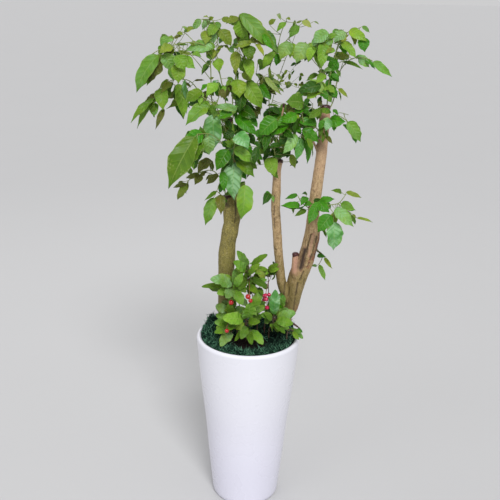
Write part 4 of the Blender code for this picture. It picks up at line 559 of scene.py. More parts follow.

# Marks on the bark as seen from the front: (kind, line in centimetres, half width, depth, strength).
# The kinds are 0 for a dark crack or scar, also used for painted shadow, 1 for reddish flakes and 2 for
# bare pinkish wood.
LEFT_MARKS = [
    (0, [(-5.0, 101.6), (-4.7, 99.4), (-4.6, 97.0)], 0.22, 0.0024, 0.95),
    (0, [(-4.7, 96.2), (-4.9, 94.4)], 0.16, 0.0016, 0.8),
    (0, [(-8.8, 102.4), (-7.9, 101.0), (-7.2, 100.2)], 0.75, 0.0008, 0.9),
    (0, [(-7.9, 99.0), (-7.7, 97.6)], 0.14, 0.0008, 0.6),
    (0, [(-8.7, 91.3), (-7.7, 91.1), (-7.1, 90.4)], 0.14, 0.0008, 0.45),
    (0, [(-5.9, 88.6), (-4.7, 88.9), (-3.7, 90.0)], 0.12, 0.0006, 0.35),
]
RIGHT_MARKS = [
    (0, [(18.6, 91.4), (18.0, 88.9)], 0.22, 0.0028, 0.85),
    (0, [(17.8, 88.4), (17.5, 85.6)], 0.30, 0.0030, 0.95),
    (0, [(17.4, 84.8), (17.0, 82.6)], 0.20, 0.0024, 0.85),
    (0, [(16.8, 81.8), (16.5, 80.2)], 0.24, 0.0024, 0.9),
    (0, [(20.5, 90.8), (20.1, 88.9)], 0.26, 0.0020, 0.85),
    (0, [(19.9, 88.0), (19.4, 85.9)], 0.20, 0.0020, 0.8),
    (0, [(19.3, 85.0), (18.8, 83.2)], 0.30, 0.0022, 0.85),
    (0, [(18.5, 82.2), (18.0, 80.8)], 0.18, 0.0016, 0.75),
    (0, [(17.2, 90.6), (16.9, 88.0)], 0.12, 0.0012, 0.55),
    (0, [(16.2, 86.0), (15.8, 83.6)], 0.12, 0.0012, 0.5),
    # A painted shadow between the stub and the trunk
    (0, [(17.0, 86.4), (16.4, 83.2), (15.9, 80.4)], 0.85, 0.0010, 1.0),
    (0, [(16.9, 79.4), (15.8, 76.4)], 0.22, 0.0018, 0.8),
    (0, [(15.2, 75.4), (14.7, 71.2)], 0.24, 0.0022, 0.85),
    (0, [(14.6, 70.2), (14.4, 67.9), (14.2, 65.4)], 0.20, 0.0016, 0.7),
    (0, [(17.3, 77.0), (16.9, 74.8)], 0.13, 0.0012, 0.6),
    (0, [(11.3, 75.6), (11.0, 72.0), (10.4, 68.8)], 0.26, 0.0010, 0.65),
    (0, [(13.1, 64.6), (13.0, 62.2)], 0.20, 0.0012, 0.6),
    (0, [(21.3, 88.6), (20.3, 84.4)], 0.34, 0.0010, 0.6),
    (0, [(19.9, 80.8), (19.2, 78.4)], 0.42, 0.0008, 0.5),
    (0, [(18.5, 75.4), (17.7, 71.8)], 0.30, 0.0008, 0.5),
    (0, [(16.6, 68.2), (16.2, 64.6)], 0.34, 0.0008, 0.5),
    (0, [(12.8, 74.0), (12.3, 70.8)], 0.14, 0.0014, 0.6),
    (1, [(21.7, 91.6), (20.9, 87.4), (19.8, 83.4)], 0.75, 0.0012, 1.0),
    (1, [(18.9, 84.0), (18.2, 80.6)], 0.50, 0.0008, 0.8),
    (1, [(15.5, 67.4), (14.9, 62.6)], 0.80, 0.0008, 0.6),
    (1, [(16.6, 83.6), (16.2, 79.4)], 0.50, 0.0006, 0.6),
    (2, [(14.0, 79.4), (14.2, 85.6)], 1.3, 0.0, 0.9), (2, [(20.8, 122.6), (21.0, 131.0)], 2.4, 0.0, 0.55),
    (2, [(19.5, 91.6), (18.8, 88.0), (18.2, 84.4)], 0.40, -0.0006, 0.7),
    (2, [(16.9, 87.4), (16.5, 83.0)], 0.35, -0.0004, 0.55),
    (0, [(6.95, 103.6), (7.0, 101.2)], 0.15, 0.0012, 0.8),
    (0, [(7.05, 100.2), (7.0, 97.4)], 0.17, 0.0014, 0.9),
    (0, [(7.1, 96.6), (7.3, 93.4)], 0.14, 0.0012, 0.8),
    (0, [(7.7, 86.6), (8.05, 86.3)], 0.20, 0.0012, 0.8),
    (0, [(9.6, 91.6), (9.9, 91.3)], 0.22, 0.0008, 0.7),
    (0, [(7.6, 81.8), (8.0, 81.4)], 0.24, 0.0008, 0.8),
    (0, [(17.2, 111.0), (17.5, 110.7)], 0.14, 0.0006, 0.7),
    (0, [(18.9, 105.2), (19.1, 104.9)], 0.16, 0.0006, 0.7),
    (0, [(20.0, 101.4), (20.1, 101.1)], 0.12, 0.0006, 0.6),
]
# Slender cut twigs among the leaves of the right trunk, as rows of (x, y, z, radius)
TWIGS = [
    [(0.079, 0.002, 1.100, 0.0042), (0.080, 0.018, 1.180, 0.0032), (0.084, 0.020, 1.250, 0.0030),
     (0.0895, 0.010, 1.306, 0.0034)],
    [(0.082, 0.019, 1.205, 0.0032), (0.100, 0.014, 1.255, 0.0028), (0.1195, 0.006, 1.297, 0.0033)],
    [(0.203, 0.008, 1.150, 0.0044), (0.178, 0.010, 1.205, 0.0032), (0.152, 0.006, 1.262, 0.0029),
     (0.1455, 0.004, 1.303, 0.0033)],
]
WAX_ENDS = {"trunk_left": [LEFT_LIMB, RIGHT_LIMB], "trunk_right": [TRUNK_RIGHT, CENTRE_STEM, STUB] + TWIGS}

# Leaves that fill the crowns behind the ones above, as a share of their number
FILL_SHARE = {
    "leafy_shoot_left_shaded": 0.0, "leafy_shoot_left_low": 0.25, "leafy_shoot_left_broad": 0.5,
    "leafy_shoot_left_outer_high": 0.9, "leafy_shoot_left_outer_low": 0.8, "leafy_shoot_centre_low": 0.5,
    "leafy_shoot_left_front": 1.8, "leafy_shoot_left_inner": 2.6, "leafy_shoot_left_middle": 2.0,
    "leafy_shoot_centre_front": 3.0, "leafy_shoot_centre_back": 0.3, "leafy_shoot_right_far": 0.3,
    "leafy_shoot_right_inner": 2.5, "leafy_shoot_right_top": 1.8, "leafy_shoot_right_arching": 0.6,
    "leafy_shoot_low_left": 0.3, "leafy_shoot_low_front": 0.3, "leafy_shoot_low_back": 0.0,
    "leafy_shoot_right_side": 0.6, "rim_sprig": 1.5,
}
USUAL_FILL = 1.3
FILL_TRIES = 20
# How far they stray from the leaves in front, lie behind them and lean, in centimetres
FILL_REACH = 1.8
FILL_SPREAD = 1.3
FILL_BEHIND = (1.0, 5.0)
FILL_LEAN = (-2.8, 2.0)
# Their turn in degrees, and their roll in radians
FILL_TURN = 32
FILL_ROLL = 0.55
# Their length as a share of the leaf in front, pull inward, and width as a share of the length
FILL_LENGTHS = (0.5, 0.9)
FILL_INWARD = 0.12
FILL_SLIM = (0.42, 0.56)
# The longest stalk and the shortest blade, in metres
FILL_STALK = 0.06
FILL_SHORTEST = 0.018
# Letters added to each shoot's own for its filling leaves, mostly dark ones: painted shade behind the
# leaves in front
FILL_LETTERS = "gkdk"

# A stretch of painted shade on the moss in front, among the low plants: its middle, and how far it reaches
# along and across
MOSS_SHADE = (0.035, -0.02)
MOSS_SHADE_REACH = (0.105, 0.10)

# Leaves that only the scene has:
# (base across, up, tip across, up, width, letter, depth behind its stalk)
EXTRA_LEAVES = [
    # Outer left
    (-29.6, 143.8, -31.9, 141.0, 0.8, "q", 0.0), (-22.8, 146.2, -25.0, 144.8, 1.6, "o", 1.0),
    (-26.6, 146.6, -26.9, 143.6, 1.6, "k", 2.0), (-23.0, 146.0, -24.6, 143.4, 2.0, "o", 1.5),
    (-26.0, 144.0, -28.6, 140.6, 2.6, "o", 1.0), (-22.2, 143.4, -21.0, 140.6, 2.2, "k", 2.0),
    (-24.0, 140.6, -23.0, 136.6, 1.8, "m", 1.5), (-20.6, 141.8, -20.2, 137.0, 1.8, "b", 1.0),
    (-25.2, 147.6, -22.6, 148.2, 1.0, "p", 0.0), (-22.6, 148.6, -20.4, 149.4, 1.0, "q", 0.0),
    (-21.9, 150.1, -20.0, 149.6, 1.0, "o", 0.0), (-19.9, 150.4, -18.2, 151.4, 0.9, "k", 0.0),
    (-22.2, 147.0, -18.6, 146.8, 0.8, "k", 1.0), (-21.6, 145.0, -19.0, 144.4, 1.2, "o", 1.0),
    (-20.2, 144.8, -17.6, 144.0, 1.2, "o", 0.5), (-24.6, 137.2, -27.2, 134.4, 1.2, "o", 0.3),
    (-23.2, 136.4, -24.6, 133.4, 1.0, "k", 0.5), (-24.4, 134.2, -25.4, 131.4, 1.4, "k", 0.5),
    (-28.9, 130.6, -30.4, 128.4, 1.6, "m", 0.5), (-29.6, 131.2, -33.4, 126.6, 1.6, "k", 0.4),
    # Top left
    (-12.9, 153.9, -11.5, 154.6, 1.1, "o", 0.0), (-12.4, 147.6, -14.2, 145.4, 2.0, "b", -0.5),
    (-13.2, 150.6, -12.0, 147.6, 1.6, "p", 1.0), (-12.8, 146.2, -11.8, 144.0, 1.3, "k", 0.0),
    (-11.2, 146.8, -12.4, 145.2, 1.0, "o", 0.5), (-10.4, 146.0, -8.4, 146.9, 1.0, "o", 0.5),
    (-13.6, 144.3, -12.0, 142.9, 1.1, "k", 0.0), (-10.2, 145.0, -11.6, 143.0, 1.0, "q", 0.5),
    (-8.6, 147.0, -7.0, 145.4, 1.2, "o", 0.5), (-7.0, 146.6, -5.6, 145.0, 1.6, "p", 1.0),
    (-6.2, 147.4, -4.4, 146.2, 1.6, "m", 1.0), (-4.2, 149.0, -6.0, 147.2, 1.6, "p", 1.0),
    (-3.4, 148.6, -1.6, 147.6, 1.2, "o", 0.5), (-2.4, 148.4, 0.4, 148.2, 1.1, "k", 0.5),
    (-9.6, 152.9, -12.6, 151.3, 1.8, "m", 1.0), (-7.4, 153.6, -4.6, 152.6, 1.8, "b", 1.0),
    (-5.6, 154.6, -2.6, 151.0, 2.6, "o", 1.5), (-2.4, 153.4, -1.4, 149.6, 1.8, "g", 1.0),
    (-16.0, 147.0, -18.6, 147.4, 1.4, "o", 1.0), (-17.6, 144.6, -15.0, 143.6, 1.8, "m", 1.0),
    (-14.6, 146.4, -11.8, 144.8, 1.8, "m", 1.2), (-9.0, 150.0, -10.2, 147.2, 1.4, "p", 1.2),
    # Top middle
    (3.2, 151.2, 6.9, 145.6, 3.0, "p", -0.8), (2.3, 150.4, 5.4, 145.9, 1.6, "g", -0.3),
    (8.2, 147.4, 10.0, 144.6, 2.6, "n", 0.5), (11.0, 148.0, 10.2, 143.8, 2.6, "b", 1.0),
    (13.4, 148.0, 14.8, 143.4, 2.8, "n", 0.8), (11.4, 146.6, 12.4, 142.6, 2.6, "b", 1.5),
    (13.4, 143.2, 11.8, 142.0, 0.9, "d", 0.0), (11.9, 142.6, 10.4, 141.6, 0.8, "d", 0.0),
    (4.4, 141.2, 5.2, 137.6, 0.9, "o", 0.0), (1.2, 143.4, 2.6, 141.0, 1.6, "k", 1.0),
    (3.2, 144.8, 4.6, 141.6, 1.8, "b", 1.0), (11.8, 153.6, 13.4, 154.2, 0.6, "y", 0.0),
    (16.6, 154.0, 18.0, 153.2, 0.5, "y", 0.0),
    # Sprays of small leaves behind the middle
    (2.2, 138.6, 3.4, 137.0, 0.8, "y", 0.0), (0.6, 139.4, 2.0, 137.8, 0.8, "y", 0.0),
    (2.4, 137.6, 2.2, 136.0, 0.8, "q", 0.0), (3.6, 138.2, 5.4, 136.4, 1.0, "y", 0.0),
    (5.0, 136.6, 6.6, 134.8, 1.1, "o", 0.0), (5.8, 139.2, 4.8, 137.6, 0.7, "y", 0.0),
    (8.6, 139.6, 8.0, 137.8, 0.8, "o", 0.0), (9.4, 140.6, 8.6, 139.0, 0.8, "o", 0.0),
    (8.8, 137.6, 7.2, 137.0, 0.8, "o", 0.0), (10.4, 139.6, 10.2, 137.6, 0.8, "o", 0.0),
    (11.6, 140.4, 10.8, 139.0, 0.7, "k", 0.0), (9.6, 136.8, 10.8, 137.2, 0.9, "y", 0.0),
    (9.0, 137.2, 9.6, 135.8, 1.0, "o", 0.0), (13.2, 139.6, 14.4, 139.0, 0.9, "o", 0.0),
    (13.4, 139.0, 13.2, 137.4, 0.8, "k", 0.0), (13.0, 136.6, 14.6, 136.0, 0.9, "o", 0.0),
    (29.0, 144.8, 33.6, 142.6, 2.0, "p", 0.3), (31.6, 143.8, 34.6, 141.2, 1.8, "g", 0.6),
    (20.4, 149.6, 23.4, 150.6, 1.6, "m", 0.4), (21.6, 148.6, 19.4, 145.6, 2.2, "b", 0.8),
    (16.8, 149.6, 18.2, 146.0, 2.0, "m", 0.9), (22.6, 141.8, 20.6, 139.4, 1.6, "g", 0.6),
    (13.6, 137.2, 14.4, 136.6, 0.8, "q", 0.0), (12.6, 136.4, 11.4, 136.8, 0.7, "o", 0.0),
    (14.2, 135.6, 13.0, 135.0, 0.8, "q", 0.0), (7.2, 135.4, 8.8, 134.2, 0.9, "y", 0.0),
    (4.0, 135.0, 5.8, 134.6, 0.8, "q", 0.0),
    # Left of the middle
    (-19.8, 137.2, -19.4, 131.2, 1.4, "w", -0.4), (-17.0, 137.0, -14.0, 137.2, 0.6, "q", 0.0),
    (-19.6, 136.4, -18.0, 135.0, 0.8, "q", 0.0), (-15.0, 134.4, -13.4, 135.4, 0.9, "k", 0.0),
    (-15.4, 133.6, -18.8, 131.6, 1.6, "q", -0.2), (-17.0, 132.4, -15.2, 131.2, 1.3, "g", 0.5),
    (-12.8, 134.4, -11.4, 132.8, 1.5, "k", 0.3), (-11.0, 134.4, -9.8, 132.4, 1.1, "q", 0.5),
    (-10.2, 133.8, -8.4, 133.0, 1.5, "q", 0.2), (-8.6, 132.2, -7.2, 131.2, 1.2, "d", 0.5),
    (-12.6, 137.6, -11.4, 138.0, 0.7, "o", 0.0), (-3.0, 134.8, -3.8, 131.8, 1.5, "d", 0.3),
    (-4.4, 132.8, -3.8, 129.2, 2.2, "d", 0.6), (-2.8, 132.8, -2.0, 129.8, 1.6, "d", 0.6),
    (-1.6, 137.8, 1.0, 134.0, 2.2, "m", 0.8), (-3.4, 139.4, -0.6, 137.2, 2.0, "o", 1.0),
    (-7.6, 138.0, -5.6, 137.4, 1.0, "k", 0.5), (-6.6, 128.9, -4.6, 126.8, 2.0, "d", 0.8),
    (-8.0, 128.3, -5.6, 127.6, 1.4, "d", 0.8), (-1.0, 129.2, 1.6, 126.4, 2.4, "d", 0.5),
    (-3.6, 127.2, -0.2, 124.0, 2.6, "g", 0.5), (-7.4, 125.4, -6.4, 122.2, 2.4, "k", 0.8),
    (-6.0, 124.8, -4.8, 121.0, 2.2, "d", 1.0), (-4.6, 124.6, -2.8, 120.6, 2.2, "g", 0.8),
    (-1.4, 122.0, 0.8, 118.6, 2.2, "d", 0.8), (-8.6, 121.6, -4.8, 120.0, 2.0, "b", -0.5),
    (-3.6, 120.8, -0.6, 117.4, 2.4, "p", 0.8), (-8.2, 119.6, -6.0, 117.4, 2.0, "k", 0.8),
    (-12.0, 126.4, -13.2, 122.4, 1.6, "w", -0.3), (-4.8, 131.0, -2.6, 127.4, 2.4, "d", 1.2),
    (-0.6, 126.6, 1.4, 123.8, 1.8, "g", 1.0), (-9.6, 124.0, -8.0, 121.6, 1.8, "k", 1.0),
    (-7.8, 125.8, -6.4, 122.4, 2.0, "d", -2.0), (-6.2, 122.6, -6.6, 119.0, 1.8, "k", -2.0),
    (-4.8, 119.4, -6.6, 116.4, 1.8, "g", -1.6), (-6.8, 116.4, -6.0, 111.8, 1.6, "d", -1.8),
    (-8.2, 120.0, -7.4, 117.0, 1.4, "d", -1.4),
    # The dark middle, its dark tints partly painted shade
    (0.6, 119.6, 3.4, 117.4, 1.4, "d", 0.5), (1.0, 118.0, 3.8, 116.0, 1.6, "k", 0.4),
    (0.9, 116.2, 3.2, 114.2, 1.6, "g", 0.6), (1.4, 114.6, 2.8, 112.6, 1.0, "k", 0.3),
    (0.9, 112.6, -1.6, 108.4, 0.9, "q", 0.0), (3.2, 115.2, 4.2, 112.4, 0.9, "k", 0.0),
    (3.0, 120.0, 4.6, 117.6, 1.6, "d", 0.8), (9.6, 119.4, 11.4, 116.8, 1.4, "d", 0.6),
    (6.2, 119.0, 8.4, 117.8, 1.4, "d", 0.6), (-0.6, 113.2, 1.6, 111.8, 1.6, "k", 0.8),
    (1.8, 136.6, 4.4, 133.6, 1.8, "g", 0.4), (4.0, 134.4, 5.2, 132.2, 1.4, "m", 0.4),
    (-0.2, 135.6, 2.6, 131.6, 2.4, "b", 0.5), (0.6, 130.0, 2.2, 127.4, 1.4, "q", 0.5),
    (4.2, 130.4, 8.0, 130.0, 1.0, "k", 0.5), (4.4, 129.0, 3.2, 126.6, 1.4, "d", 0.5),
    (4.6, 129.4, 7.4, 128.6, 1.4, "g", 0.5), (3.8, 128.2, 6.2, 127.2, 1.4, "g", 0.5),
    (8.2, 129.8, 6.0, 127.4, 1.4, "g", 0.5), (9.4, 131.0, 8.2, 128.0, 2.2, "k", 0.5),
    (11.6, 131.2, 9.8, 128.4, 2.0, "q", 0.8), (10.4, 128.8, 12.6, 127.2, 2.0, "q", 0.8),
    (7.2, 128.0, 10.6, 126.4, 2.0, "g", 0.6), (8.0, 127.0, 4.8, 126.0, 1.6, "g", 0.6),
    (12.2, 128.4, 14.6, 129.6, 2.0, "g", 0.4), (14.4, 130.8, 16.0, 128.2, 2.0, "g", 0.4),
    (16.4, 130.2, 14.0, 127.6, 1.8, "g", 0.6), (13.0, 128.0, 10.0, 124.4, 1.8, "g", 0.6),
    (2.4, 125.6, 3.2, 123.2, 1.4, "k", 0.6), (1.6, 123.4, 2.8, 120.6, 2.2, "g", 0.6),
    (8.8, 122.6, 12.2, 121.0, 2.2, "d", 0.6), (9.8, 121.6, 8.2, 118.8, 2.2, "d", 0.8),
    (2.8, 121.2, 4.4, 117.8, 2.0, "d", 0.5), (5.6, 118.9, 8.4, 117.2, 1.8, "k", 0.5),
    (3.4, 119.2, 1.6, 116.6, 1.6, "q", 0.5), (6.2, 121.2, 7.8, 119.2, 1.2, "d", 0.6),
    (5.2, 119.4, 6.4, 121.2, 1.2, "q", 0.8), (13.6, 125.4, 12.2, 121.6, 1.2, "d", 0.5),
    (12.0, 126.6, 13.2, 124.0, 1.8, "k", 0.5), (9.8, 120.8, 11.0, 117.0, 1.6, "g", 0.6),
    (6.0, 124.4, 9.0, 121.6, 2.4, "g", 1.0), (4.4, 123.6, 6.6, 120.6, 2.0, "d", 1.2),
    (11.0, 126.0, 12.6, 121.6, 1.7, "d", 0.8), (10.4, 124.6, 11.4, 121.8, 1.4, "k", 0.8),
    (9.6, 130.6, 10.6, 127.4, 1.8, "k", 0.8), (5.2, 128.4, 8.4, 126.8, 1.7, "g", 0.6),
    (15.8, 123.0, 17.2, 119.4, 1.8, "g", -3.0), (16.2, 121.0, 17.8, 117.2, 1.6, "k", -3.4),
    # Right crown
    (20.2, 151.0, 18.0, 151.8, 1.0, "p", 0.5), (20.6, 150.4, 17.6, 149.4, 1.6, "p", 0.5),
    (22.6, 152.2, 23.0, 149.8, 2.0, "m", 0.5), (24.2, 151.8, 21.6, 149.2, 1.6, "m", 0.5),
    (22.2, 149.4, 19.8, 148.0, 1.8, "p", 0.3), (17.8, 149.0, 16.4, 147.2, 1.4, "p", 0.3),
    (18.6, 148.6, 20.0, 146.0, 2.0, "o", 0.6), (16.4, 147.8, 18.6, 144.6, 2.4, "b", 0.6),
    (15.2, 146.6, 14.4, 143.0, 2.0, "k", 0.8), (16.2, 146.0, 15.4, 142.8, 1.8, "b", 0.8),
    (17.8, 146.0, 18.4, 141.8, 2.0, "b", 0.8), (19.6, 143.6, 18.8, 141.0, 1.6, "k", 0.4),
    (20.0, 144.0, 23.6, 143.0, 1.6, "g", 0.3), (23.8, 144.0, 21.0, 142.0, 1.8, "g", 0.3),
    (22.6, 142.6, 21.2, 140.6, 1.6, "g", 0.3), (22.8, 145.4, 26.4, 144.2, 1.6, "o", 0.5),
    (22.6, 144.4, 25.2, 145.4, 1.2, "k", 0.5), (23.0, 148.6, 26.4, 149.2, 1.4, "o", 0.5),
    (24.6, 149.6, 22.6, 148.0, 1.2, "o", 0.5), (25.2, 147.8, 26.0, 145.2, 1.8, "d", 0.6),
    (20.2, 147.4, 21.8, 145.9, 1.2, "o", 0.0), (18.4, 139.5, 15.4, 138.4, 1.3, "k", 0.0),
    (18.6, 139.4, 19.8, 137.4, 1.8, "b", 0.4), (19.2, 140.0, 21.0, 138.0, 1.6, "b", 0.6),
    (22.2, 139.8, 24.6, 137.8, 1.8, "g", 0.3), (21.6, 138.2, 21.2, 135.4, 1.8, "g", 0.4),
    (18.6, 137.6, 17.4, 137.2, 0.7, "q", 0.0), (17.4, 136.8, 20.8, 136.2, 1.6, "k", 0.3),
    (16.6, 136.6, 13.0, 135.2, 1.2, "d", -0.2), (15.2, 135.8, 14.2, 133.4, 2.0, "g", 0.3),
    (16.2, 135.4, 18.2, 132.6, 2.0, "b", 0.4), (18.2, 136.4, 20.6, 133.8, 2.2, "b", 0.4),
    (19.4, 134.8, 21.6, 132.2, 2.2, "g", -0.6), (20.8, 136.0, 23.6, 134.2, 2.2, "b", -0.4),
    (22.4, 135.4, 24.2, 133.0, 2.0, "g", 0.2), (21.6, 133.6, 22.8, 131.6, 1.6, "m", -0.6),
    (19.6, 133.2, 18.6, 131.2, 1.0, "d", -0.3), (19.8, 132.2, 18.8, 130.2, 1.0, "q", -0.3),
    (24.6, 134.8, 25.4, 132.0, 0.5, "k", 0.0), (17.0, 133.8, 15.4, 132.4, 1.4, "g", 0.5),
    # Round the right trunk's top
    (19.8, 129.6, 22.4, 128.4, 1.6, "k", -3.5), (17.8, 129.8, 16.2, 127.2, 1.8, "d", 0.2),
    (19.4, 130.2, 18.8, 126.4, 1.8, "k", -3.5), (20.8, 129.8, 22.8, 128.6, 1.2, "g", -3.6),
    (16.8, 130.6, 15.2, 131.6, 0.9, "d", 0.0), (16.8, 129.8, 17.4, 128.2, 0.9, "d", 0.0),
    (20.6, 126.6, 19.4, 123.6, 1.6, "g", -3.6), (20.4, 124.8, 19.6, 121.4, 1.4, "k", -3.6),
    (20.8, 122.8, 20.6, 119.6, 1.0, "k", -3.6), (22.4, 126.8, 21.4, 123.2, 2.2, "w", -3.8),
    (22.4, 126.6, 24.0, 124.2, 1.8, "g", -3.0), (21.6, 121.6, 23.4, 120.2, 0.9, "q", -3.4),
    (21.2, 123.6, 22.2, 120.8, 1.1, "k", -3.6), (13.2, 126.2, 18.6, 124.8, 2.4, "g", 0.3),
    (18.0, 125.2, 14.4, 123.4, 2.2, "m", 0.3), (15.0, 123.0, 17.8, 120.6, 2.0, "g", 0.5),
    (13.8, 121.4, 12.4, 117.2, 1.6, "g", 0.3), (15.2, 120.8, 14.6, 116.2, 1.6, "p", 0.4),
    (12.6, 124.4, 14.4, 122.0, 1.2, "d", 0.5),
    # Low on the left
    (-16.2, 113.4, -17.4, 110.8, 1.4, "k", 0.0), (-18.8, 111.6, -18.2, 109.4, 1.8, "k", 0.0),
    (-12.8, 114.0, -11.6, 110.4, 1.6, "q", 0.2), (-13.4, 110.4, -15.6, 108.4, 1.8, "q", 0.2),
    (-11.6, 109.4, -13.8, 107.6, 1.2, "q", 0.0), (-19.2, 106.8, -19.6, 103.4, 1.8, "q", 0.0),
    (-20.4, 104.2, -22.4, 101.8, 2.0, "o", -0.2), (-20.6, 107.2, -22.2, 106.6, 0.7, "q", 0.0),
    (-8.4, 107.4, -9.6, 103.8, 1.8, "g", -0.3), (-8.6, 110.8, -7.8, 106.8, 1.6, "g", 0.0),
    (-6.4, 117.2, -5.9, 111.8, 1.8, "d", 0.6), (-8.8, 119.8, -7.4, 117.6, 1.4, "d", 0.3),
    (-13.6, 121.0, -14.8, 116.4, 2.6, "p", 0.4), (-15.4, 119.2, -13.0, 115.6, 2.2, "p", 0.5),
    (-6.2, 108.4, -6.4, 104.2, 1.6, "g", 0.4), (-8.2, 102.6, -7.6, 100.6, 1.0, "d", -0.4),
    (-2.6, 118.4, 0.2, 115.0, 2.2, "g", 0.8), (-5.0, 116.2, -3.0, 112.6, 2.4, "d", 1.0),
    (-1.8, 114.6, 1.6, 111.6, 2.0, "k", 0.8), (-3.4, 111.8, -1.6, 108.2, 2.2, "g", 0.8),
    # Low on the right
    (19.6, 103.4, 18.2, 100.4, 1.6, "g", -0.3), (20.6, 101.6, 18.0, 97.4, 2.4, "g", -0.2),
    (22.2, 101.8, 24.2, 99.6, 1.6, "g", 0.3), (17.6, 102.0, 16.4, 100.6, 1.4, "g", 0.0),
    (25.8, 100.0, 28.4, 98.6, 1.6, "p", 0.5), (28.2, 99.2, 31.2, 96.0, 1.8, "p", 0.5),
    (30.2, 97.6, 32.0, 94.8, 1.4, "k", 0.5), (31.0, 98.2, 31.8, 96.4, 1.0, "o", 0.5),
    (22.0, 93.2, 23.4, 90.4, 1.0, "k", 0.5), (20.6, 86.2, 22.6, 85.2, 0.5, "q", 0.0),
    (20.8, 84.4, 23.2, 84.0, 1.3, "g", -0.3),
]
EXTRA_LOW_LEAVES = [
    # Crest of the low plants
    (-1.2, 79.0, -4.6, 79.4, 2.2, "b", 0.5), (-2.2, 78.4, -5.0, 76.2, 2.2, "m", 0.5),
    (-3.4, 79.0, -4.6, 74.4, 2.4, "m", 0.6), (-1.6, 77.6, -3.0, 72.6, 2.4, "k", 0.8),
    (0.2, 79.8, 2.6, 80.6, 1.6, "b", 0.3), (0.4, 78.0, 1.4, 80.4, 1.4, "b", 0.5),
    (1.4, 79.0, 4.2, 78.6, 1.6, "b", 0.3), (-0.4, 76.4, 1.6, 73.4, 2.2, "k", 0.6),
    (2.2, 79.6, 4.8, 76.6, 1.8, "o", 0.3), (3.6, 79.2, 5.8, 78.2, 1.6, "b", 0.0),
    (2.4, 77.6, 3.4, 74.8, 1.6, "k", 0.5), (5.2, 77.4, 6.6, 79.8, 1.8, "b", 0.2),
    (6.6, 78.4, 8.2, 80.8, 2.0, "m", 0.3), (1.2, 75.6, 4.4, 74.0, 2.0, "k", 0.5),
    (3.8, 75.4, 5.8, 73.2, 1.6, "k", 0.5), (0.4, 74.0, 3.2, 71.6, 2.2, "k", 0.5),
    (-0.6, 74.2, 0.6, 71.2, 2.0, "k", 0.6), (-2.0, 75.0, -4.2, 71.6, 2.0, "k", 0.8),
    # Left
    (-5.0, 75.6, -10.6, 77.0, 2.4, "m", 0.4), (-5.4, 74.8, -9.6, 73.6, 2.2, "m", 0.6),
    (-5.6, 74.0, -9.6, 71.4, 2.2, "b", 0.5), (-4.8, 73.6, -6.4, 70.0, 2.4, "n", 0.4),
    (-4.2, 72.2, -3.2, 68.4, 2.2, "p", 0.4), (-3.4, 71.6, -1.8, 69.4, 1.6, "m", 0.4),
    (-3.8, 70.2, -6.6, 68.8, 1.6, "m", 0.6),
    # Low left
    (-6.8, 65.8, -10.2, 66.6, 2.6, "p", 0.3), (-6.0, 66.6, -8.6, 68.6, 2.0, "n", 0.4),
    (-5.4, 66.4, -4.2, 69.0, 1.8, "b", 0.4), (-5.8, 63.4, -10.4, 63.8, 2.4, "m", 0.4),
    (-5.2, 62.2, -9.8, 60.2, 2.4, "m", 0.5), (-5.0, 61.0, -7.6, 58.6, 2.0, "m", 0.5),
    (-6.0, 60.0, -10.4, 59.4, 2.0, "b", 0.3), (-4.6, 64.6, -7.8, 65.6, 2.2, "b", 0.3),
    # Front
    (-1.0, 66.4, -4.4, 65.2, 2.4, "b", 0.5), (-0.6, 67.4, -3.0, 69.6, 2.2, "n", 0.4),
    (0.4, 66.6, 2.6, 70.2, 2.4, "b", 0.5), (-1.0, 64.4, -3.4, 61.2, 2.4, "g", 0.5),
    (0.6, 64.6, 3.2, 62.4, 2.2, "g", 0.5), (1.8, 66.8, 5.4, 68.6, 1.8, "m", 0.5),
    (2.4, 65.4, 5.8, 66.2, 1.8, "m", 0.5), (3.4, 69.4, 4.8, 66.8, 1.6, "m", 0.5),
    (-1.4, 61.4, -4.0, 59.0, 1.8, "b", 0.4),
    # Right
    (7.4, 66.4, 6.6, 71.4, 2.4, "w", 0.3), (8.6, 65.6, 10.6, 69.6, 2.4, "g", 0.4),
    (7.0, 64.8, 4.6, 67.4, 1.8, "m", 0.4), (7.2, 63.6, 3.8, 64.4, 1.8, "m", 0.4),
    (9.0, 64.4, 12.6, 66.6, 2.2, "p", 0.3), (9.6, 63.6, 14.2, 64.0, 2.2, "g", 0.3),
    (8.8, 62.6, 12.4, 62.6, 2.2, "b", 0.4), (8.4, 61.8, 11.2, 60.2, 2.0, "m", 0.4),
    (7.2, 62.4, 5.0, 61.8, 1.8, "m", 0.5), (8.2, 61.6, 9.8, 58.4, 1.8, "k", 0.4),
    (10.0, 61.0, 13.2, 59.0, 1.6, "m", 0.4),
]
# Thin leafstalks that only the scene has, as lines of (across, up, depth)
EXTRA_STALKS = {
    "leafy_shoot_centre_back": [
        [(4.45, 139.5, 8.0), (2.2, 138.6, 6.5), (0.4, 139.5, 6.0)],
        [(2.2, 138.6, 6.5), (4.6, 136.8, 6.0), (7.4, 134.4, 6.0)],
        [(4.7, 134.5, 8.0), (7.6, 136.8, 6.5), (9.6, 138.8, 6.0), (11.9, 142.0, 6.0)],
        [(7.6, 136.8, 6.5), (10.2, 136.6, 6.0), (13.6, 139.4, 5.5)],
        [(10.2, 136.6, 6.0), (13.2, 135.6, 5.5), (14.8, 136.8, 5.0)],
    ],
}


def seen(across, up, depth=0.0):
    """A place of the front view, in centimetres, at a depth behind the middle plane."""
    middle = Vector((across * CM, 0.0, up * CM))
    return EYE + (middle - EYE) * (1.0 + depth * CM / -EYE.y)


def flat(place):
    """The front view's (across, up, depth) of a place, in centimetres."""
    middle = EYE + (place - EYE) * (-EYE.y / (place.y - EYE.y))
    return middle.x / CM, middle.z / CM, place.y / CM


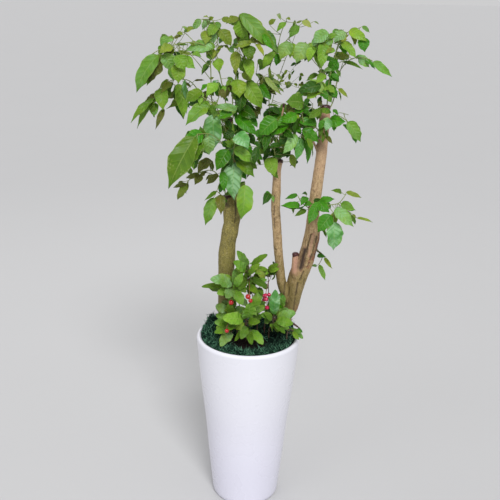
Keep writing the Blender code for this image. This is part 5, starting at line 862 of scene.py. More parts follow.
def tube(points, radii, sides, bump=0.0, phase=0.0):
    """A closed tube through the points; bump swells its rings unevenly, as bark does."""
    points = [Vector(p) for p in points]
    side = None
    verts = []
    for i, (point, radius) in enumerate(zip(points, radii)):
        ahead = points[min(i + 1, len(points) - 1)] - points[max(i - 1, 0)]
        ahead.normalize()
        if side is None:
            reference = Vector((0, -1, 0)) if abs(ahead.y) < 0.9 else Vector((0, 0, 1))
            side = ahead.cross(reference)
        side = (side - ahead * side.dot(ahead)).normalized()
        other = ahead.cross(side)
        for k in range(sides):
            angle = 2 * math.pi * k / sides
            swell = 1 + bump * math.sin(3 * angle + 1.7 * i + phase) * math.cos(2.1 * i + angle)
            verts.append(point + (side * math.cos(angle) + other * math.sin(angle)) * radius * swell)
    return verts, tube_faces(len(points), sides)


def bands(rows, sides, first=0):
    """The faces between rows that each have as many points around as there are sides."""
    faces = []
    for i in range(rows - 1):
        for k in range(sides):
            a = first + i * sides + k
            b = first + i * sides + (k + 1) % sides
            faces.append((a, b, b + sides, a + sides))
    return faces


def tube_faces(rows, sides):
    """The faces of a closed tube: one end, the bands along it, and the other end."""
    last = (rows - 1) * sides
    return [tuple(reversed(range(sides))), *bands(rows, sides), tuple(range(last, last + sides))]


def tree_of(solid):
    """A tree that finds where a ray meets the solid."""
    verts, faces = solid
    return BVHTree.FromPolygons([tuple(v) for v in verts], faces, epsilon=0.0)


def pot_inner_radius(height):
    """The pot's inside, a wall's thickness in from its outside."""
    for (low, r_low), (high, r_high) in zip(POT_OUTSIDE, POT_OUTSIDE[1:]):
        if height <= high:
            return r_low + (r_high - r_low) * (height - low) / (high - low) - WALL
    return RIM_INNER


def limb(rows, sides, phase):
    """A limb as a plain closed tube of (points, faces)."""
    points = [row[:3] for row in rows]
    radii = [row[3] for row in rows]
    return tube(points, radii, sides, BARK_BUMP, phase)


def trunk_limbs():
    """Every limb as a plain closed tube, with the name of its trunk."""
    result = {}
    for name, rows, branches, phase in (("trunk_left", TRUNK_LEFT, [LEFT_LIMB, RIGHT_LIMB], LEFT_PHASE),
                                        ("trunk_right", TRUNK_RIGHT, [CENTRE_STEM, STUB], RIGHT_PHASE)):
        result[name] = [limb(rows, TRUNK_SIDES, phase=phase)]
        result[name] += [limb(branch, LIMB_SIDES, phase=phase + 1) for branch in branches]
    return result


def around(radius, angle):
    """The (x, y) at a radius from the pot's middle, at an angle."""
    return radius * math.cos(angle), radius * math.sin(angle)


def moss_height(x, y):
    """The top of the moss, with its ripples and mounds."""
    rise = 0.0024 * math.sin(90 * x + 1.0) * math.cos(75 * y) + 0.0016 * math.sin(170 * x - 120 * y)
    for mound_x, mound_y, height, spread in MOSS_MOUNDS:
        away = ((x - mound_x) ** 2 + (y - mound_y) ** 2) / spread ** 2
        rise += height * math.exp(-away)
    return MOSS_RIM + rise


def moss_inner_edge(angle):
    """Wide open in front, where the soil shows, and nearly closed at the back."""
    front = 0.5 - 0.5 * math.sin(angle)
    opening = MOSS_OPENING + MOSS_OPENING_FRONT * front ** MOSS_OPENING_FADE
    return opening + MOSS_OPENING_WAVE * math.sin(5 * angle)


def facing(axis, roll):
    """The upper face's direction for a leaf that points along axis."""
    normal = LEAF_FACES - axis * axis.dot(LEAF_FACES)
    if normal.length < 0.15:
        normal = LEAF_FACES_ELSE - axis * axis.dot(LEAF_FACES_ELSE)
    normal.normalize()
    return Matrix.Rotation(roll, 3, axis) @ normal


def samples(points):
    """Places along a stalk, clear of its bends and ends."""
    result = []
    for start, end in zip(points, points[1:]):
        length = (end - start).length
        count = max(1, round(length / SAMPLE_STEP) - 1)
        inset = min(SAMPLE_INSET, 0.3 * length) / length
        for i in range(count):
            share = inset + (1 - 2 * inset) * (i / (count - 1) if count > 1 else 0.5)
            result.append(start.lerp(end, share))
    return result


def best_root(stalks, base, tip):
    """The place on the stalks from which a leaf's own stalk runs on most straightly."""
    ahead = (tip - base).normalized()
    best = None
    for points in stalks:
        for place in samples(points):
            reach = base - place
            turn = DETOUR_COST - (reach.normalized().dot(ahead) if reach.length > 1e-6 else 1.0)
            cost = (reach.length + SHORTEST_REACH) * turn
            if best is None or cost < best[0]:
                best = (cost, place)
    return best[1]


def nearest_on(stalks, place):
    """The place on the stalks that is nearest to another place."""
    places = [p for points in stalks for p in [points[0]] + samples(points)]
    return min(places, key=lambda p: (p - place).length)


def seat_on(limbs, inside, outside):
    """Where a stem leaves the bark at the height of inside, on the side of outside, and its way out."""
    way = outside - inside
    steepest = math.hypot(way.x, way.y)
    way.z = max(-steepest, min(steepest, way.z))
    way.normalize()
    best = None
    for solid in limbs:
        place, _, _, distance = tree_of(solid).ray_cast(inside + way * SEAT_REACH, -way)
        if place is not None and (best is None or distance < best[1]):
            best = (place, distance)
    return (best[0] if best else None), way


def radii_along(points, first, last):
    """Radii that change evenly along the points, from the first to the last."""
    total = sum((b - a).length for a, b in zip(points, points[1:]))
    result = [first]
    run = 0.0
    for a, b in zip(points, points[1:]):
        run += (b - a).length
        result.append(first + (last - first) * run / total)
    return result


def bent(rows, bend):
    """The places of a stalk's rows, with all past the first bent to another depth."""
    count = max(1, len(rows) - 1)
    places = []
    for i, (across, up, depth) in enumerate(rows):
        share = i / count
        places.append(seen(across, up, depth + bend * math.sin(0.5 * math.pi * min(1.0, 2 * share))))
    return places


def leaf_trials(row, stalks, chance, behind=0.0):
    """Every way in which a leaf is tried: (root, base, tip, width, roll), the wanted one first."""
    base_across, base_up, tip_across, tip_up, width = row[:5]
    close = min((flat(p) for points in stalks for p in samples(points)),
                key=lambda f: (f[0] - base_across) ** 2 + (f[1] - base_up) ** 2)
    lean = chance.uniform(LEAN_LEAST, LEAN_MOST)
    roll = math.radians(chance.uniform(-ROLL_DEGREES, ROLL_DEGREES))
    for bend in BENDS:
        for turn in TURNS:
            base_depth = close[2] + bend * BEND_OF_BASE + behind
            tip_depth = base_depth + lean + bend * BEND_OF_TIP
            if len(row) > 5:
                tip_depth = row[5] + bend * BEND_OF_SET_TIP
                base_depth = close[2] + DEPTH_AT_BASE * (tip_depth - close[2]) + bend * BEND_OF_TIP
            base = seen(base_across, base_up, base_depth)
            tip = seen(tip_across, tip_up, tip_depth)
            yield best_root(stalks, base, tip), base, tip, width * BROADER * CM, roll + turn


def catmull(rows, step):
    """Rows of numbers joined by a smooth curve, about a step apart; the first three are the place."""
    rows = [np.array(row, float) for row in rows]
    padded = [2 * rows[0] - rows[1]] + rows + [2 * rows[-1] - rows[-2]]
    result = []
    for a, b, c, d in zip(padded, padded[1:], padded[2:], padded[3:]):
        count = max(1, round(float(np.linalg.norm((c - b)[:3])) / step))
        for i in range(count):
            t = i / count
            result.append(0.5 * (2 * b + (c - a) * t + (2 * a - 5 * b + 4 * c - d) * t * t
                                 + (3 * b - 3 * c + d - a) * t ** 3))
    result.append(rows[-1])
    return np.array(result)


def rgb(red, green, blue):
    """A colour in linear light, from its values on screen."""
    shares = (red / 255, green / 255, blue / 255)
    return tuple(v / 12.92 if v < 0.04045 else ((v + 0.055) / 1.055) ** 2.4 for v in shares)


class Graph:
    """A material's nodes, with short calls for the ones used most."""

    def __init__(self, name, roughness, settings=None):
        self.material = bpy.data.materials.new(name)
        self.material.use_nodes = True
        self.tree = self.material.node_tree
        self.shader = self.tree.nodes["Principled BSDF"]
        self.shader.inputs["Roughness"].default_value = roughness
        for label, value in (settings or {}).items():
            self.shader.inputs[label].default_value = value

    def feed(self, socket, value):
        if isinstance(value, bpy.types.NodeSocket):
            self.tree.links.new(value, socket)
        elif isinstance(value, tuple) and len(value) == 3 and socket.type == "RGBA":
            socket.default_value = (*value, 1.0)
        else:
            socket.default_value = value

    def node(self, kind, inputs=None, **settings):
        made = self.tree.nodes.new(kind)
        for key, value in settings.items():
            setattr(made, key, value)
        for socket, value in (inputs or {}).items():
            self.feed(made.inputs[socket], value)
        return made

    def maths(self, operation, *values):
        made = self.node("ShaderNodeMath", operation=operation)
        for socket, value in zip(made.inputs, values):
            self.feed(socket, value)
        return made.outputs[0]

    def times(self, first, second):
        return self.maths("MULTIPLY", first, second)

    def spread(self, value, low, high, to_low=0.0, to_high=1.0):
        """The value carried smoothly from low and high to two others."""
        made = self.node("ShaderNodeMapRange", {0: value, 1: low, 2: high, 3: to_low, 4: to_high},
                         interpolation_type="SMOOTHSTEP")
        return made.outputs[0]

    def mix(self, share, first, second, blend="MIX"):
        made = self.node("ShaderNodeMix", {0: share, 6: first, 7: second},
                         data_type="RGBA", blend_type=blend)
        return made.outputs[2]

    def where(self, stretch=(1, 1, 1)):
        place = self.node("ShaderNodeTexCoord").outputs["Object"]
        return self.node("ShaderNodeMapping", {"Vector": place, "Scale": stretch}).outputs[0]

    def noise(self, scale, detail=4.0, stretch=(1, 1, 1), roughness=0.55):
        inputs = {"Vector": self.where(stretch), "Scale": scale, "Detail": detail, "Roughness": roughness}
        made = self.node("ShaderNodeTexNoise", inputs)
        return made.outputs["Fac"]

    def cells(self, scale, stretch=(1, 1, 1)):
        """How far each point is from the middle of its cell, and a chance value for the cell."""
        made = self.node("ShaderNodeTexVoronoi", {"Vector": self.where(stretch), "Scale": scale})
        split = self.node("ShaderNodeSeparateColor", {0: made.outputs["Color"]})
        return made.outputs["Distance"], split.outputs[0]

    def parts(self, vector):
        """The three numbers of a vector."""
        return self.node("ShaderNodeSeparateXYZ", {0: vector}).outputs

    def attribute(self, name, output):
        return self.node("ShaderNodeAttribute", attribute_name=name).outputs[output]

    def finish(self, colour, height=None, depth=0.001, roughness=None):
        self.feed(self.shader.inputs["Base Color"], colour)
        if roughness is not None:
            self.feed(self.shader.inputs["Roughness"], roughness)
        if height is not None:
            bump = self.node("ShaderNodeBump", {"Height": height, "Distance": depth, "Strength": 1.0})
            self.feed(self.shader.inputs["Normal"], bump.outputs[0])
        return self.material


def leaf_material(name, underside):
    """Veins, tint and a painted sheen, a painted reflection, from each leaf's own places: from edge to edge
    and from base to tip.
    """
    soft = {"Subsurface Weight": 0.12, "Subsurface Scale": 0.003, "Subsurface Radius": (0.5, 1.0, 0.15),
            "Specular IOR Level": 0.17}
    net = Graph(name, 0.36, soft)
    across, along, painted_sheen = net.parts(net.attribute("leaf_place", "Vector"))
    away = net.maths("ABSOLUTE", across)
    half = net.times(net.maths("GREATER_THAN", across, 0.0), 0.5)
    back = net.times(net.maths("POWER", away, 1.3), VEINS * VEIN_SLANT)
    run = net.maths("ADD", net.maths("SUBTRACT", net.times(along, VEINS), back), half)
    near = net.times(net.maths("PINGPONG", run, 0.5), 2.0)
    vein = net.times(net.spread(near, 0.76, 1.0), net.spread(away, 0.5, 1.0, 1.0, 0.2))
    rib = net.spread(away, 0.012, 0.075, 1.0, 0.0)
    mottle = net.noise(55, 5)
    tint = net.attribute("tint", "Color")
    darker = net.mix(1.0, tint, (0.74, 0.80, 0.80), "MULTIPLY")
    yellower = net.mix(1.0, tint, (1.25, 1.02, 0.75), "MULTIPLY")
    base = net.mix(net.spread(mottle, 0.3, 0.7), darker, tint)
    base = net.mix(net.spread(net.noise(17, 2), 0.50, 0.75, 0.0, 0.8), base, yellower)
    if underside:
        base = net.mix(0.28, base, rgb(150, 160, 104))
        strength = 0.40
    else:
        # The pale patches between the veins are a painted reflection, as strong as each leaf's painted
        # sheen
        cloud = net.spread(net.noise(26, 2), 0.40, 0.62)
        patch = net.times(cloud, net.spread(near, 1.0, 0.45, 0.45, 1.0))
        base = net.mix(net.times(patch, painted_sheen), base, rgb(150, 192, 144))
        strength = 0.42
    light_vein = net.mix(1.0, tint, (1.5, 1.25, 2.2), "MULTIPLY")
    base = net.mix(net.times(vein, strength), base, light_vein)
    base = net.mix(net.times(rib, 0.38), base, net.mix(0.5, light_vein, rgb(178, 196, 112)))
    edge = net.times(net.spread(away, 0.93, 1.0), 0.20)
    base = net.mix(edge, base, rgb(160, 180, 90))
    quilt = net.maths("SUBTRACT", net.spread(near, 1.0, 0.3), net.times(rib, 0.8))
    height = net.maths("ADD", quilt, net.times(mottle, 0.35))
    rough = net.spread(mottle, 0.25, 0.75, 0.52 if underside else 0.30, 0.64 if underside else 0.44)
    return net.finish(base, height, 0.0007, rough)


def stalk_material(name, base, other, specks):
    """A skin of two colours along the stalk, with pale dots that are closer where specks is set."""
    net = Graph(name, 0.45)
    colour = net.mix(net.noise(70, 4, (1, 1, 0.3)), base, other)
    distance, chance = net.cells(900 if specks else 600)
    dots = net.times(net.spread(distance, 0.30, 0.16), net.maths("GREATER_THAN", chance, 0.72))
    colour = net.mix(net.times(dots, 0.8 if specks else 0.3), colour, rgb(205, 190, 175))
    return net.finish(colour, net.noise(220, 3, (1, 1, 0.25)), 0.0004)


def bark_material(name, light, dark, cast, speckled, top, foot):
    """Bark with a fine speckled grain, cracks and painted shadow, flakes and bare wood; paler up high and
    greener low.
    """
    net = Graph(name, 0.74)
    height_up = net.parts(net.where())[2]
    streaks = net.noise(190, 6, (1, 1, 0.50), 0.65)
    grain = net.noise(520, 6, (1, 1, 0.85), 0.75)
    patches = net.noise(30, 5, (1, 1, 0.6))
    colour = net.mix(net.spread(streaks, 0.38, 0.62, 0.10, 0.95), dark, light)
    colour = net.mix(net.spread(patches, 0.45, 0.72, 0.0, 0.55), colour, cast)
    colour = net.mix(net.spread(height_up, 0.98, 1.22, 0.0, 0.75), colour, top)
    wander = net.maths("ADD", height_up, net.spread(patches, 0.3, 0.7, -0.06, 0.06))
    colour = net.mix(net.spread(wander, 0.92, 0.72, 0.0, 0.80), colour, foot)
    colour = net.mix(net.spread(grain, 0.52, 0.66, 0.0, 0.50), colour, rgb(84, 68, 36))
    colour = net.mix(net.spread(grain, 0.48, 0.36, 0.0, 0.45), colour, rgb(220, 204, 160))
    distance, chance = net.cells(300, (1, 1, 0.6))
    specks = net.times(net.spread(distance, 0.36, 0.18), net.maths("GREATER_THAN", chance, 1 - speckled))
    colour = net.mix(net.times(specks, 0.62), colour, rgb(62, 48, 26))
    crack_and_painted_shade, flaking, bare = net.parts(net.attribute("marks", "Vector"))
    flaky = net.times(flaking, net.spread(net.noise(230, 4, (1, 1, 0.6)), 0.42, 0.58, 0.10, 1.0))
    colour = net.mix(flaky, colour, rgb(132, 62, 46))
    colour = net.mix(net.times(bare, 0.85), colour, rgb(188, 140, 120))
    # Dark cracks and scars, and painted shadow
    colour = net.mix(crack_and_painted_shade, colour, rgb(46, 31, 21))
    height = net.maths("SUBTRACT", net.maths("ADD", net.times(streaks, 0.5), grain), specks)
    return net.finish(colour, height, 0.0011)


def pot_material():
    """White glaze, faintly lilac towards the foot."""
    net = Graph("glossy_white_glaze", 0.28, {"Coat Weight": 0.25, "Coat Roughness": 0.12})
    height_up = net.parts(net.where())[2]
    colour = net.mix(net.noise(5, 3), rgb(218, 218, 227), rgb(223, 223, 231))
    colour = net.mix(net.spread(height_up, 0.50, 0.08), colour, rgb(212, 211, 225))
    return net.finish(colour, net.noise(9, 1), 0.0001, net.spread(net.noise(12, 2), 0.3, 0.7, 0.26, 0.30))


def soil_material(name, base, light):
    """Dull crumbly ground with lighter grains."""
    net = Graph(name, 0.95, {"Specular IOR Level": 0.2})
    grain = net.noise(420, 6)
    colour = net.mix(net.spread(grain, 0.45, 0.75), base, light)
    return net.finish(colour, grain, 0.002)


def moss_material():
    """Dull strands, mostly in each strand's own tint."""
    net = Graph("dark_moss_strands", 0.90, {"Specular IOR Level": 0.12})
    colour = net.mix(net.spread(net.noise(160, 4), 0.35, 0.7), rgb(5, 24, 20), rgb(20, 62, 48))
    colour = net.mix(0.82, colour, net.attribute("tint", "Color"))
    return net.finish(colour, net.noise(700, 3), 0.0005)


def berry_material():
    """A glossy skin in the berry's own tint, a little mottled."""
    settings = {"Coat Weight": 0.5, "Coat Roughness": 0.08, "Subsurface Weight": 0.1,
                "Subsurface Scale": 0.003, "Subsurface Radius": (1.0, 0.2, 0.1)}
    net = Graph("berry_skin", 0.16, settings)
    tint = net.attribute("tint", "Color")
    darker = net.mix(1.0, tint, (0.6, 0.5, 0.5), "MULTIPLY")
    colour = net.mix(net.spread(net.noise(260, 4), 0.40, 0.75), tint, darker)
    return net.finish(colour, net.noise(500, 2), 0.0002)


def wax_material():
    """Lumpy dark red wax."""
    net = Graph("sealing_wax", 0.30)
    lumps = net.noise(180, 5)
    return net.finish(net.mix(lumps, rgb(28, 10, 12), rgb(88, 38, 38)), lumps, 0.0015)


def flake_material():
    """Dry dark bark with its grain along the flake."""
    net = Graph("flake_bark", 0.85)
    grain = net.noise(200, 7, (0.3, 1, 1))
    return net.finish(net.mix(grain, rgb(30, 18, 22), rgb(96, 66, 62)), grain, 0.0015)


def floor_material():
    """A plain pale floor with a faint cloudiness."""
    net = Graph("studio_floor", 0.55)
    darker = tuple(0.97 * v for v in FLOOR_COLOUR)
    return net.finish(net.mix(net.noise(1.2, 4), FLOOR_COLOUR, darker), net.noise(40, 3), 0.0002)


def linked(name, data):
    """A new object with this data, in the scene."""
    thing = bpy.data.objects.new(name, data)
    bpy.context.scene.collection.objects.link(thing)
    return thing


class Pile:
    """The points and faces of one piece, each point with its place on a leaf and its tint."""

    def __init__(self):
        self.points = []
        self.places = []
        self.tints = []
        self.faces = []
        self.kinds = []
        self.count = 0

    def add(self, points, faces, kind=0, places=None, tint=(0.0, 0.0, 0.0)):
        points = np.asarray(points, float).reshape(-1, 3)
        count = len(points)
        self.points.append(points)
        self.places.append(np.zeros((count, 3)) if places is None else places)
        tints = np.ones((count, 4))
        tints[:, :3] = tint
        self.tints.append(tints)
        self.faces += [tuple(index + self.count for index in face) for face in faces]
        self.kinds += [kind] * len(faces) if isinstance(kind, int) else kind
        self.count += count

    def piece(self, name, materials, sharp=55):
        mesh = bpy.data.meshes.new(name)
        mesh.from_pydata(np.concatenate(self.points).tolist(), [], self.faces)
        for surface in materials:
            mesh.materials.append(surface)
        mesh.polygons.foreach_set("material_index", self.kinds)
        places = mesh.attributes.new("leaf_place", "FLOAT_VECTOR", "POINT")
        places.data.foreach_set("vector", np.concatenate(self.places).ravel())
        tints = mesh.attributes.new("tint", "FLOAT_COLOR", "POINT")
        tints.data.foreach_set("color", np.concatenate(self.tints).ravel())
        mesh.shade_smooth()
        mesh.set_sharp_from_angle(angle=math.radians(sharp))
        mesh.validate()
        return linked(name, mesh)


def placed(thing, slot, *nodes):
    """The piece rides on the plant's one body and stands for the nodes given. The slot is not used."""
    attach(thing, "root")
    if nodes:
        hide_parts(*nodes)


def round_tube(rows, sides, rounding=0.0):
    """A closed tube along rows of (x, y, z, radius), with rounded ends if asked."""
    rows = np.asarray(rows, float)
    places, radii = rows[:, :3], rows[:, 3]
    ahead = np.gradient(places, axis=0)
    ahead /= np.linalg.norm(ahead, axis=1)[:, None]
    side = np.cross(ahead[0], (0, -1, 0) if abs(ahead[0][1]) < 0.9 else (0, 0, 1))
    angles = np.arange(sides) * 2 * math.pi / sides
    rings = []
    for place, radius, way in zip(places, radii, ahead):
        side = side - way * side.dot(way)
        side /= np.linalg.norm(side)
        other = np.cross(way, side)
        rings.append(place + radius * (np.cos(angles)[:, None] * side + np.sin(angles)[:, None] * other))
    if rounding:
        for index, sign in ((0, -1), (-1, 1)):
            cap = places[index] + (rings[index] - places[index]) * 0.72 + sign * ahead[index] * rounding
            rings = [cap] + rings if sign < 0 else rings + [cap]
    return np.concatenate(rings), tube_faces(len(rings), sides)


def leaf_faces(rows, columns):
    """A thin closed leaf's faces: a point at each end, and grids above and below with shared edges."""
    top = [[1 + i * columns + k for k in range(columns)] for i in range(rows)]
    first_low = 1 + rows * columns
    low = []
    for i in range(rows):
        inner = [first_low + i * (columns - 2) + k for k in range(columns - 2)]
        low.append([top[i][0]] + inner + [top[i][-1]])
    end = first_low + rows * (columns - 2)
    faces = []
    kinds = []
    for kind, grid in enumerate((top, low)):
        made = [(0, grid[0][k], grid[0][k + 1]) for k in range(columns - 1)]
        for near, far in zip(grid, grid[1:]):
            made += [(near[k], far[k], far[k + 1], near[k + 1]) for k in range(columns - 1)]
        made += [(end, grid[-1][k + 1], grid[-1][k]) for k in range(columns - 1)]
        faces += [tuple(reversed(face)) for face in made] if kind else made
        kinds += [kind] * len(made)
    return faces, kinds


LEAF_GRIDS = {}


def leaf_grid(length):
    """The stations along and across a leaf of this length, with its faces; made once for each size."""
    columns = WIDE_COLUMNS if length > SMALL_BLADE else FEW_COLUMNS
    rows = LARGE_ROWS if length > LARGE_BLADE else MIDDLE_ROWS if length > SMALL_BLADE else SMALL_ROWS
    key = (rows, len(columns))
    if key not in LEAF_GRIDS:
        shares = np.arange(1, rows + 1) / (rows + 1)
        stations = 0.5 - 0.5 * np.cos(math.pi * (0.04 + 0.92 * shares))
        LEAF_GRIDS[key] = (stations, np.array(columns), *leaf_faces(*key))
    return LEAF_GRIDS[key]


def outline(t, kind):
    """A leaf's half width along it: egg-shaped with a drawn-out tip, or the low plants' oval."""
    if kind == "oval":
        return np.sin(math.pi * t ** 1.02) ** 0.54
    drawn = np.clip((t - 0.68) / 0.30, 0, 1)
    return np.sin(math.pi * t ** 0.68) ** 0.76 * (1 - 0.56 * drawn * drawn * (3 - 2 * drawn))


def leaf_points(base, tip, width, roll, kind, chance):
    """A leaf's thin closed shell: folded along its rib, arched, wavy, and raised between its veins."""
    axis = (tip - base).normalized()
    length = (tip - base).length
    normal = facing(axis, roll)
    side = axis.cross(normal)
    axis, normal, side, start = (np.array(v) for v in (axis, normal, side, base))
    # t runs from the base to the tip, and s from one edge to the other
    t, s, faces, kinds = leaf_grid(length)
    t = t[:, None]
    s = s[None, :]
    away = np.abs(s)
    waves = chance.uniform(*EDGE_WAVES[kind])
    phase = chance.uniform(0, 6.28)
    half = 0.5 * width * outline(t, kind)
    broad_waves = 0.06 * np.sin(9 * t + phase + 2.2 * np.sign(s))
    fine_waves = 0.035 * np.sin(27 * t + phase + s) * away
    half = half * (1 + broad_waves + fine_waves)
    turn = 2 * math.pi * (t - 0.15) / 0.57
    rise = np.where(s < 0, 0.24 + 0.08 * np.cos(turn), 0.245 - 0.075 * np.cos(turn))
    lift = 4 * t * (1 - t) * ARCH * length + half * away ** 1.2 * rise
    lift = lift + half * 0.17 * away ** 2 * np.sin(2 * math.pi * waves * t + phase + 1.9 * np.sign(s))
    vein = np.cos(2 * math.pi * (VEINS * (t - VEIN_SLANT * away ** 1.3) + 0.5 * (s > 0)))
    lift = lift - min(VEIN_RAISED, 0.02 * width) * vein * away * (1.15 - away)
    sickle = chance.uniform(-SICKLE, SICKLE) * length * t * (1 - t) * (0.3 + t)
    thick = HALF_THICKNESS * (1 - 0.55 * away)
    groove = np.exp(-(s / RIB_HALF_WIDTH) ** 2)
    upper = lift + thick - RIB_GROOVE * groove * (1 - t)
    lower = lift - thick - min(RIB_RIDGE, 0.03 * width) * groove * (1.05 - t)
    along = start + axis * (length * t)[..., None]
    flat_part = along + side * (s * half + sickle)[..., None]
    above = flat_part + normal * upper[..., None]
    below = (flat_part + normal * lower[..., None])[:, 1:-1]
    points = np.concatenate([start[None], above.reshape(-1, 3), below.reshape(-1, 3), np.array(tip)[None]])
    wide = np.broadcast_to(s, above.shape[:2])
    far = np.broadcast_to(t, above.shape[:2])
    grid = np.stack([wide, far, np.zeros_like(wide)], axis=-1)
    places = np.concatenate([[[0, 0, 0]], grid.reshape(-1, 3), grid[:, 1:-1].reshape(-1, 3), [[0, 1, 0]]])
    return points, faces, kinds, places


def known_points(name):
    """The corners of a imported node, for finding which of its trials a stem or leaf was built from."""
    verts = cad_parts[name].data.vertices
    tree = KDTree(len(verts))
    for index, vert in enumerate(verts):
        tree.insert(vert.co, index)
    tree.balance()
    return tree


def share_found(tree, points):
    """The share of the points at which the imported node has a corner."""
    return sum(tree.find(point)[2] < FOUND_WITHIN for point in points) / len(points)


def blade_corners(base, tip, width, roll):
    """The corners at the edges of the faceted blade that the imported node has, and its tip."""
    axis = (tip - base).normalized()
    length = (tip - base).length
    normal = facing(axis, roll)
    side = axis.cross(normal)
    stations = BLADE_LARGE if length > LARGE_BLADE else BLADE_MIDDLE
    stations = BLADE_SMALL if length < SMALL_BLADE else stations
    corners = [tip]
    for share, breadth, rise_left, rise_right in stations:
        middle = base + axis * (length * share) + normal * (4 * share * (1 - share) * ARCH * length)
        reach = 0.5 * width * breadth
        corners.append(middle - side * reach + normal * (reach * rise_left))
        corners.append(middle + side * reach + normal * (reach * rise_right))
    return corners


def find_stalks(plan, limbs, tree):
    """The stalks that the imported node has, as (points, radii)."""
    stalks = []
    for number, rows in enumerate(plan["stalks"]):
        best = None
        for bend in BENDS:
            places = bent(rows, bend)
            if number:
                places[0] = nearest_on([points for points, radii in stalks], places[0])
                points = places
            elif "foot" in plan:
                x, y = plan["foot"]
                points = [Vector((x, y, STEM_FOOT)), Vector((x, y, STEM_STRAIGHT))] + places
            else:
                bark, way = seat_on(limbs[plan["seat"]], places[0], places[1])
                if bark is None:
                    continue
                points = [bark - way * SEAT_DEPTH, bark + way * STEM_STEP_OUT] + places[1:]
            radii = radii_along(points, STALK_RADIUS, STALK_TIP)
            if number == 0:
                radii = radii_along(points, STEM_RADIUS, STEM_TIP)
                radii[1] = radii[0]
            share = share_found(tree, tube(points, radii, STALK_SIDES)[0])
            if best is None or share > best[0] + 0.01:
                best = (share, points, radii)
        stalks.append(best[1:])
    return stalks


def find_leaf(trials, tree):
    """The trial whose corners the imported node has, or None where it was left out."""
    trials = list(trials)
    shares = [share_found(tree, blade_corners(*trial[1:])) for trial in trials]
    best = max(shares)
    return trials[shares.index(best)] if best > LEAF_FOUND else None


def find_foliage():
    """Every leafy node's stalks and leaves, a leaf as (root, base, tip, width, roll, tint letter)."""
    limbs = trunk_limbs()
    plans = {**SHOOTS, **LOW_PLANTS}
    chances = {name: random.Random(SEED + number) for number, name in enumerate(plans)}
    trees = {name: known_points(name) for name in plans}
    found = {}
    for name, plan in plans.items():
        stalks = find_stalks(plan, limbs, trees[name])
        lines = [points for points, _ in stalks]
        leaves = []
        for row, letter in zip(plan["leaves"], TINTS[name]):
            leaf = find_leaf(leaf_trials(row, lines, chances[name]), trees[name])
            leaves += [(*leaf, letter)] if leaf else []
        found[name] = (stalks, leaves)
    for number, (name, plan) in enumerate(SHOOTS.items()):
        rows = plan["leaves"][number % 3::BACK_EVERY]
        if len(plan["leaves"]) < 5:
            continue
        stalks, leaves = found[name]
        points, share = find_back_stalk(stalks[0][0], rows, trees[name])
        if share < STALK_FOUND:
            continue
        stalks.append((points, radii_along(points, STALK_RADIUS, STALK_TIP)))
        for index, row in enumerate(rows):
            behind = BACK_DEPTHS[(index + number) % len(BACK_DEPTHS)] - points[-1].y / CM
            leaf = find_leaf(leaf_trials(row[:5], [points], chances[name], behind), trees[name])
            # The leaves behind are tinted d, a painted shade
            leaves += [(*leaf, "d")] if leaf else []
    return found


def find_back_stalk(stem, rows, tree):
    """The leafstalk towards the back that carries the leaves behind."""
    places = samples(stem)
    start = places[int(len(places) * BACK_STALK_START)]
    across = sum(row[0] for row in rows) / len(rows)
    up = sum(row[1] for row in rows) / len(rows) + 2.0
    best = None
    for depth in BACK_STALK_DEPTHS:
        end = seen(across, up, depth)
        points = [start, start.lerp(end, 0.5) + BACK_STALK_SAG, end]
        corners = tube(points, radii_along(points, STALK_RADIUS, STALK_TIP), STALK_SIDES)[0]
        share = share_found(tree, corners[2 * STALK_SIDES:])
        if best is None or share > best[1]:
            best = (points, share)
    return best


def add_stalk(pile, points, radii):
    """A stalk as a fine tube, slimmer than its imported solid."""
    rows = catmull([(*point, radius * STALK_SLIM) for point, radius in zip(points, radii)], 0.006)
    pile.add(*round_tube(rows, 8, 0.0006), kind=2)


def add_leaf(pile, leaf, kind, chance):
    """A leaf with its tint, and the thin stalk that it hangs by."""
    root, base, tip, width, roll, letter = leaf
    red, green, blue, painted_sheen = TINT_COLOURS[letter]
    shade = chance.uniform(*SHADES[kind])
    warm = chance.uniform(0.93, 1.07)
    tint = (red * shade * warm, green * shade, blue * shade / warm)
    points, faces, kinds, places = leaf_points(base, tip, width, roll, kind, chance)
    # The third number of each leaf place carries its painted sheen, a painted reflection
    places[:, 2] = painted_sheen
    pile.add(points, faces, kinds, places, tint)
    axis = (tip - base).normalized()
    sag = Vector((0, 0, 0.06 * (base - root).length))
    rows = [(*root, 0.0009), (*(root.lerp(base, 0.5) - sag), 0.0007), (*base, 0.0007),
            (*(base + axis * min(0.008, 0.2 * (tip - base).length)), 0.0003)]
    pile.add(*round_tube(catmull(rows, 0.004), 6), kind=2)


def clear_of_wood(points):
    """Whether every point is outside all the trunks and limbs."""
    for rows in ALL_LIMBS:
        for a, b in zip(rows, rows[1:]):
            low, high = Vector(a[:3]), Vector(b[:3])
            run = high - low
            for point in points:
                share = min(1.0, max(0.0, (point - low).dot(run) / run.length_squared))
                if (point - low - run * share).length < max(a[3], b[3]) + 0.003:
                    return False
    return True


